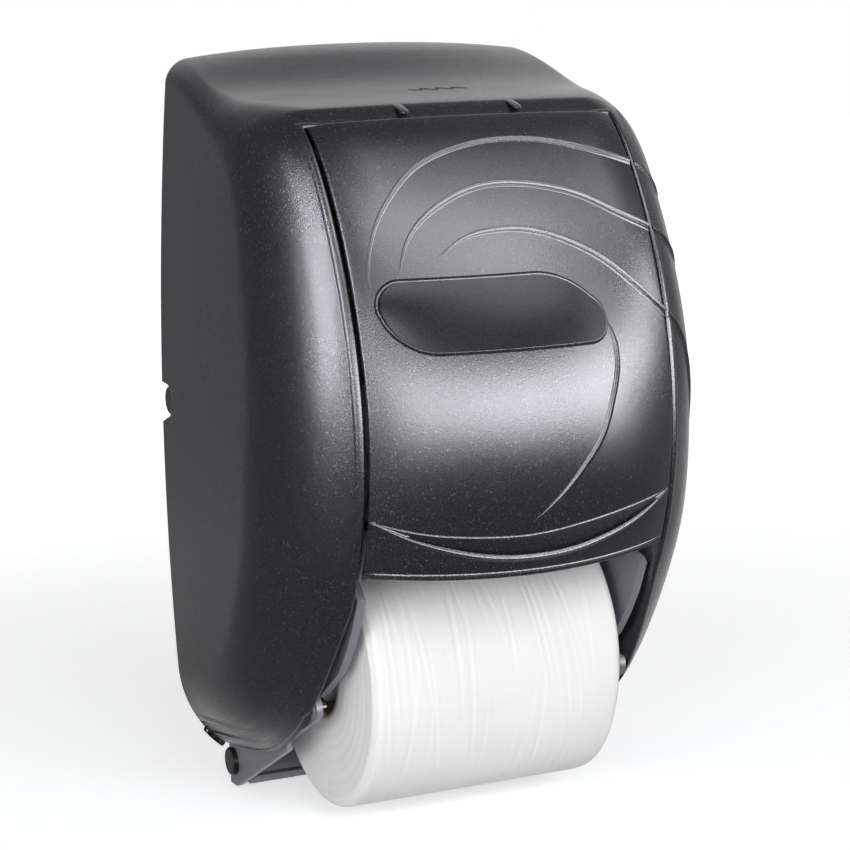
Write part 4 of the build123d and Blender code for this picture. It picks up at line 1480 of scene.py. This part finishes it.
def direction(azimuth: float, elevation: float) -> Vector:
    """Way out from the object, for an azimuth and an elevation in degrees."""
    a, e = math.radians(azimuth), math.radians(elevation)
    return Vector((math.sin(a) * math.cos(e), -math.cos(a) * math.cos(e), math.sin(e)))


class Reach(Enum):
    """What a lamp acts on."""

    FILL = "colour alone"
    SHEEN = "reflections alone"


@dataclass(frozen=True)
class SoftBox:
    """A soft area lamp, placed by direction from the object."""

    name: str
    azimuth: float
    elevation: float
    distance: float
    size: Pair
    power: float
    reach: Reach = Reach.SHEEN


@dataclass
class Studio:
    """Floor, backdrop, lamps and camera, in metres and degrees."""

    target: Triple = (0.0, -0.086, 0.154)
    azimuth: float = -24.523
    elevation: float = 8.418
    distance: float = 1.010
    tilt: float = -2.275
    lens: float = 103.75
    shift: Pair = (-0.0302, 0.0209)
    floor_y: float = 2.0
    floor_z: float = -0.001
    floor_half_size: float = 9.0
    near_glow: float = 0.6
    glow_range: Pair = (0.15, 1.3)
    backdrop_side: Pair = (0.75, 0.2)
    backdrop_back: Pair = (0.0, 0.3)
    backdrop_top: Pair = (0.8, 0.5)
    floor_side: Pair = (0.6, 0.2)
    floor_back: Pair = (0.1, 0.7)
    room: float = 0.2
    mirrored_room: float = 0.17
    lamps: tuple[SoftBox, ...] = (
        SoftBox("front_fill", 5.0, 24.0, 2.0, (1.5, 1.2), 20.0, Reach.FILL),
        SoftBox("left_fill", -52.0, 3.0, 1.8, (1.0, 1.0), 20.0, Reach.FILL),
        SoftBox("low_fill", -40.0, -5.0, 0.8, (0.5, 0.12), 0.5, Reach.FILL),
        SoftBox("sheen_left", -25.0, 5.5, 2.2, (1.4, 0.95), 60.0),
        SoftBox("sheen_middle", 13.0, 5.5, 2.2, (1.6, 0.95), 80.0),
        SoftBox("sheen_right", 50.0, 5.5, 2.2, (1.3, 0.95), 64.0),
        SoftBox("high_sheen", 12.0, 49.0, 2.0, (2.2, 0.65), 36.0),
        SoftBox("high_sheen_right", 40.0, 60.0, 2.0, (1.1, 0.8), 8.0),
        SoftBox("right_tall", 60.0, 33.0, 1.9, (0.45, 0.7), 5.0),
        SoftBox("left_strip", -66.0, 20.0, 1.6, (0.17, 1.4), 34.0),
        SoftBox("right_sheen", 76.0, 10.0, 1.8, (0.4, 0.5), 9.0),
    )

    def camera(self) -> None:
        """Places the camera as the photograph was taken."""
        a, t = math.radians(self.azimuth), math.radians(self.tilt)
        back = direction(self.azimuth, self.elevation)
        right = Vector((math.cos(a), math.sin(a), 0))
        up = back.cross(right)
        side = right * math.cos(t) + up * math.sin(t)
        top = up * math.cos(t) - right * math.sin(t)
        data = bpy.data.cameras.new("camera")
        data.lens = self.lens
        data.sensor_width = 36.0
        data.shift_x, data.shift_y = self.shift
        data.clip_start, data.clip_end = 0.05, 50.0
        camera = linked("camera", data)
        turned = Matrix((side, top, back)).transposed().to_4x4()
        camera.matrix_world = Matrix.Translation(Vector(self.target) + back * self.distance) @ turned
        bpy.context.scene.camera = camera

    def add_lamp(self, box: SoftBox) -> None:
        """Adds a soft box that looks at the object.

        Args:
            box: the lamp's place, size and power.
        """
        data = bpy.data.lights.new(box.name, "AREA")
        data.shape = "RECTANGLE"
        data.size, data.size_y = box.size
        data.energy = box.power
        out = direction(box.azimuth, box.elevation)
        lamp = linked(box.name, data)
        lamp.location = Vector(self.target) + out * box.distance
        lamp.visible_diffuse = box.reach is Reach.FILL
        lamp.visible_glossy = box.reach is Reach.SHEEN
        lamp.visible_camera = False
        lamp.rotation_mode = "QUATERNION"
        lamp.rotation_quaternion = (-out).to_track_quat("-Z", "Y")

    def behind(self, graph: Graph, side: Pair, back: Pair) -> Socket:
        """Share of the backdrop at a place or direction.

        Args:
            graph: the node tree.
            side: distances to the side at which the backdrop has faded out and is whole.
            back: distances behind the object at which it starts and is whole.

        Returns:
            The share's socket.
        """
        x, y, _ = -direction(self.azimuth, 0.0)
        far, off = (
            graph.combined("ShaderNodeVectorMath", graph.place, axis, way="DOT_PRODUCT")
            for axis in ((x, y, 0.0), (y, -x, 0.0))
        )
        off = graph.result("ABSOLUTE", off, 0.0)
        return graph.result("MULTIPLY", graph.fade(off, *side), graph.fade(far, *back))

    @staticmethod
    def shown(graph: Graph, mirrored: Socket) -> Socket:
        """Share of white: all of it where it is looked at, and a part where metal or gloss mirrors it.

        Args:
            graph: the node tree.
            mirrored: the share that a reflection gets.

        Returns:
            The share's socket.
        """
        path = graph.node("ShaderNodeLightPath")
        shiny = graph.result("MAXIMUM", path.outputs["Is Glossy Ray"], path.outputs["Is Transmission Ray"])
        part = graph.result("MULTIPLY", shiny, mirrored)
        return graph.result("MAXIMUM", path.outputs["Is Camera Ray"], part)

    def world(self) -> None:
        """Makes a dim room with a white backdrop that lights nothing."""
        world = bpy.data.worlds.new("studio")
        bpy.context.scene.world = world
        world.use_nodes = True
        graph = Graph.for_world(world)
        split = graph.node("ShaderNodeSeparateXYZ", Vector=graph.place)
        behind = self.behind(graph, self.backdrop_side, self.backdrop_back)
        low = graph.fade(split.outputs["Z"], *self.backdrop_top)
        white = self.shown(graph, graph.result("MULTIPLY", behind, low))
        path = graph.node("ShaderNodeLightPath")
        dim = graph.span(path.outputs["Is Glossy Ray"], self.room, self.mirrored_room)
        back = graph.node("ShaderNodeBackground", Color=(1, 1, 1, 1), Strength=graph.span(white, dim, 1.0))
        graph.feed(graph.output.inputs["Surface"], back.outputs[0])

    def floor(self) -> None:
        """Lays a white floor that keeps a soft shadow."""
        shape = bmesh.new()
        bmesh.ops.create_grid(shape, x_segments=8, y_segments=8, size=self.floor_half_size)
        bmesh.ops.translate(shape, verts=shape.verts, vec=(0, self.floor_y, self.floor_z))
        floor = mesh_piece("studio_floor", shape)
        graph = Graph("studio_floor")
        graph.set(Base_Color=(0.75, 0.75, 0.75, 1.0), Roughness=0.9, Specular_IOR_Level=0.0)
        plain = graph.combined(
            "ShaderNodeMixShader",
            graph.node("ShaderNodeLightPath").outputs["Is Glossy Ray"],
            graph.shader.outputs["BSDF"],
            graph.combined("ShaderNodeBsdfTransparent"),
        )
        far = graph.combined("ShaderNodeVectorMath", graph.place, way="LENGTH")
        lift = graph.span(graph.fade(far, *self.glow_range), self.near_glow, 1.0)
        glow = graph.node("ShaderNodeEmission", Strength=lift)
        veil = graph.node("ShaderNodeBsdfDiffuse", Color=(0.85, 0.86, 0.88, 1.0))
        white = graph.combined("ShaderNodeAddShader", glow.outputs[0], veil.outputs[0])
        share = self.shown(graph, self.behind(graph, self.floor_side, self.floor_back))
        mixed = graph.combined("ShaderNodeMixShader", share, plain, white)
        graph.feed(graph.output.inputs["Surface"], mixed)
        floor.data.materials.append(graph.material)

    def build(self) -> None:
        """Sets up the whole studio."""
        bpy.context.scene.view_settings.view_transform = "Standard"
        self.camera()
        self.world()
        self.floor()
        for box in self.lamps:
            self.add_lamp(box)


def main() -> None:
    """Builds the dispenser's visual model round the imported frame."""
    logging.basicConfig(level=logging.INFO, format="%(name)s: %(message)s")
    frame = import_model()
    form = CoverForm()
    wardrobe = Wardrobe()
    opening = Opening(form)
    Studio().build()
    Hood(form, opening, wardrobe).build()
    FrontPanel(form, opening, wardrobe).build()
    CoverLines(form, wardrobe).build()
    PaperRoll("roll_in_use", "lower_roll", "lower_paper", 63.0, wardrobe, 7).build()
    PaperRoll("roll_in_reserve", "reserve_roll", "reserve_paper", 208.0, wardrobe, 11).build()
    Mechanism(frame["nodes"], wardrobe).dress()


if __name__ == "__main__":
    main()
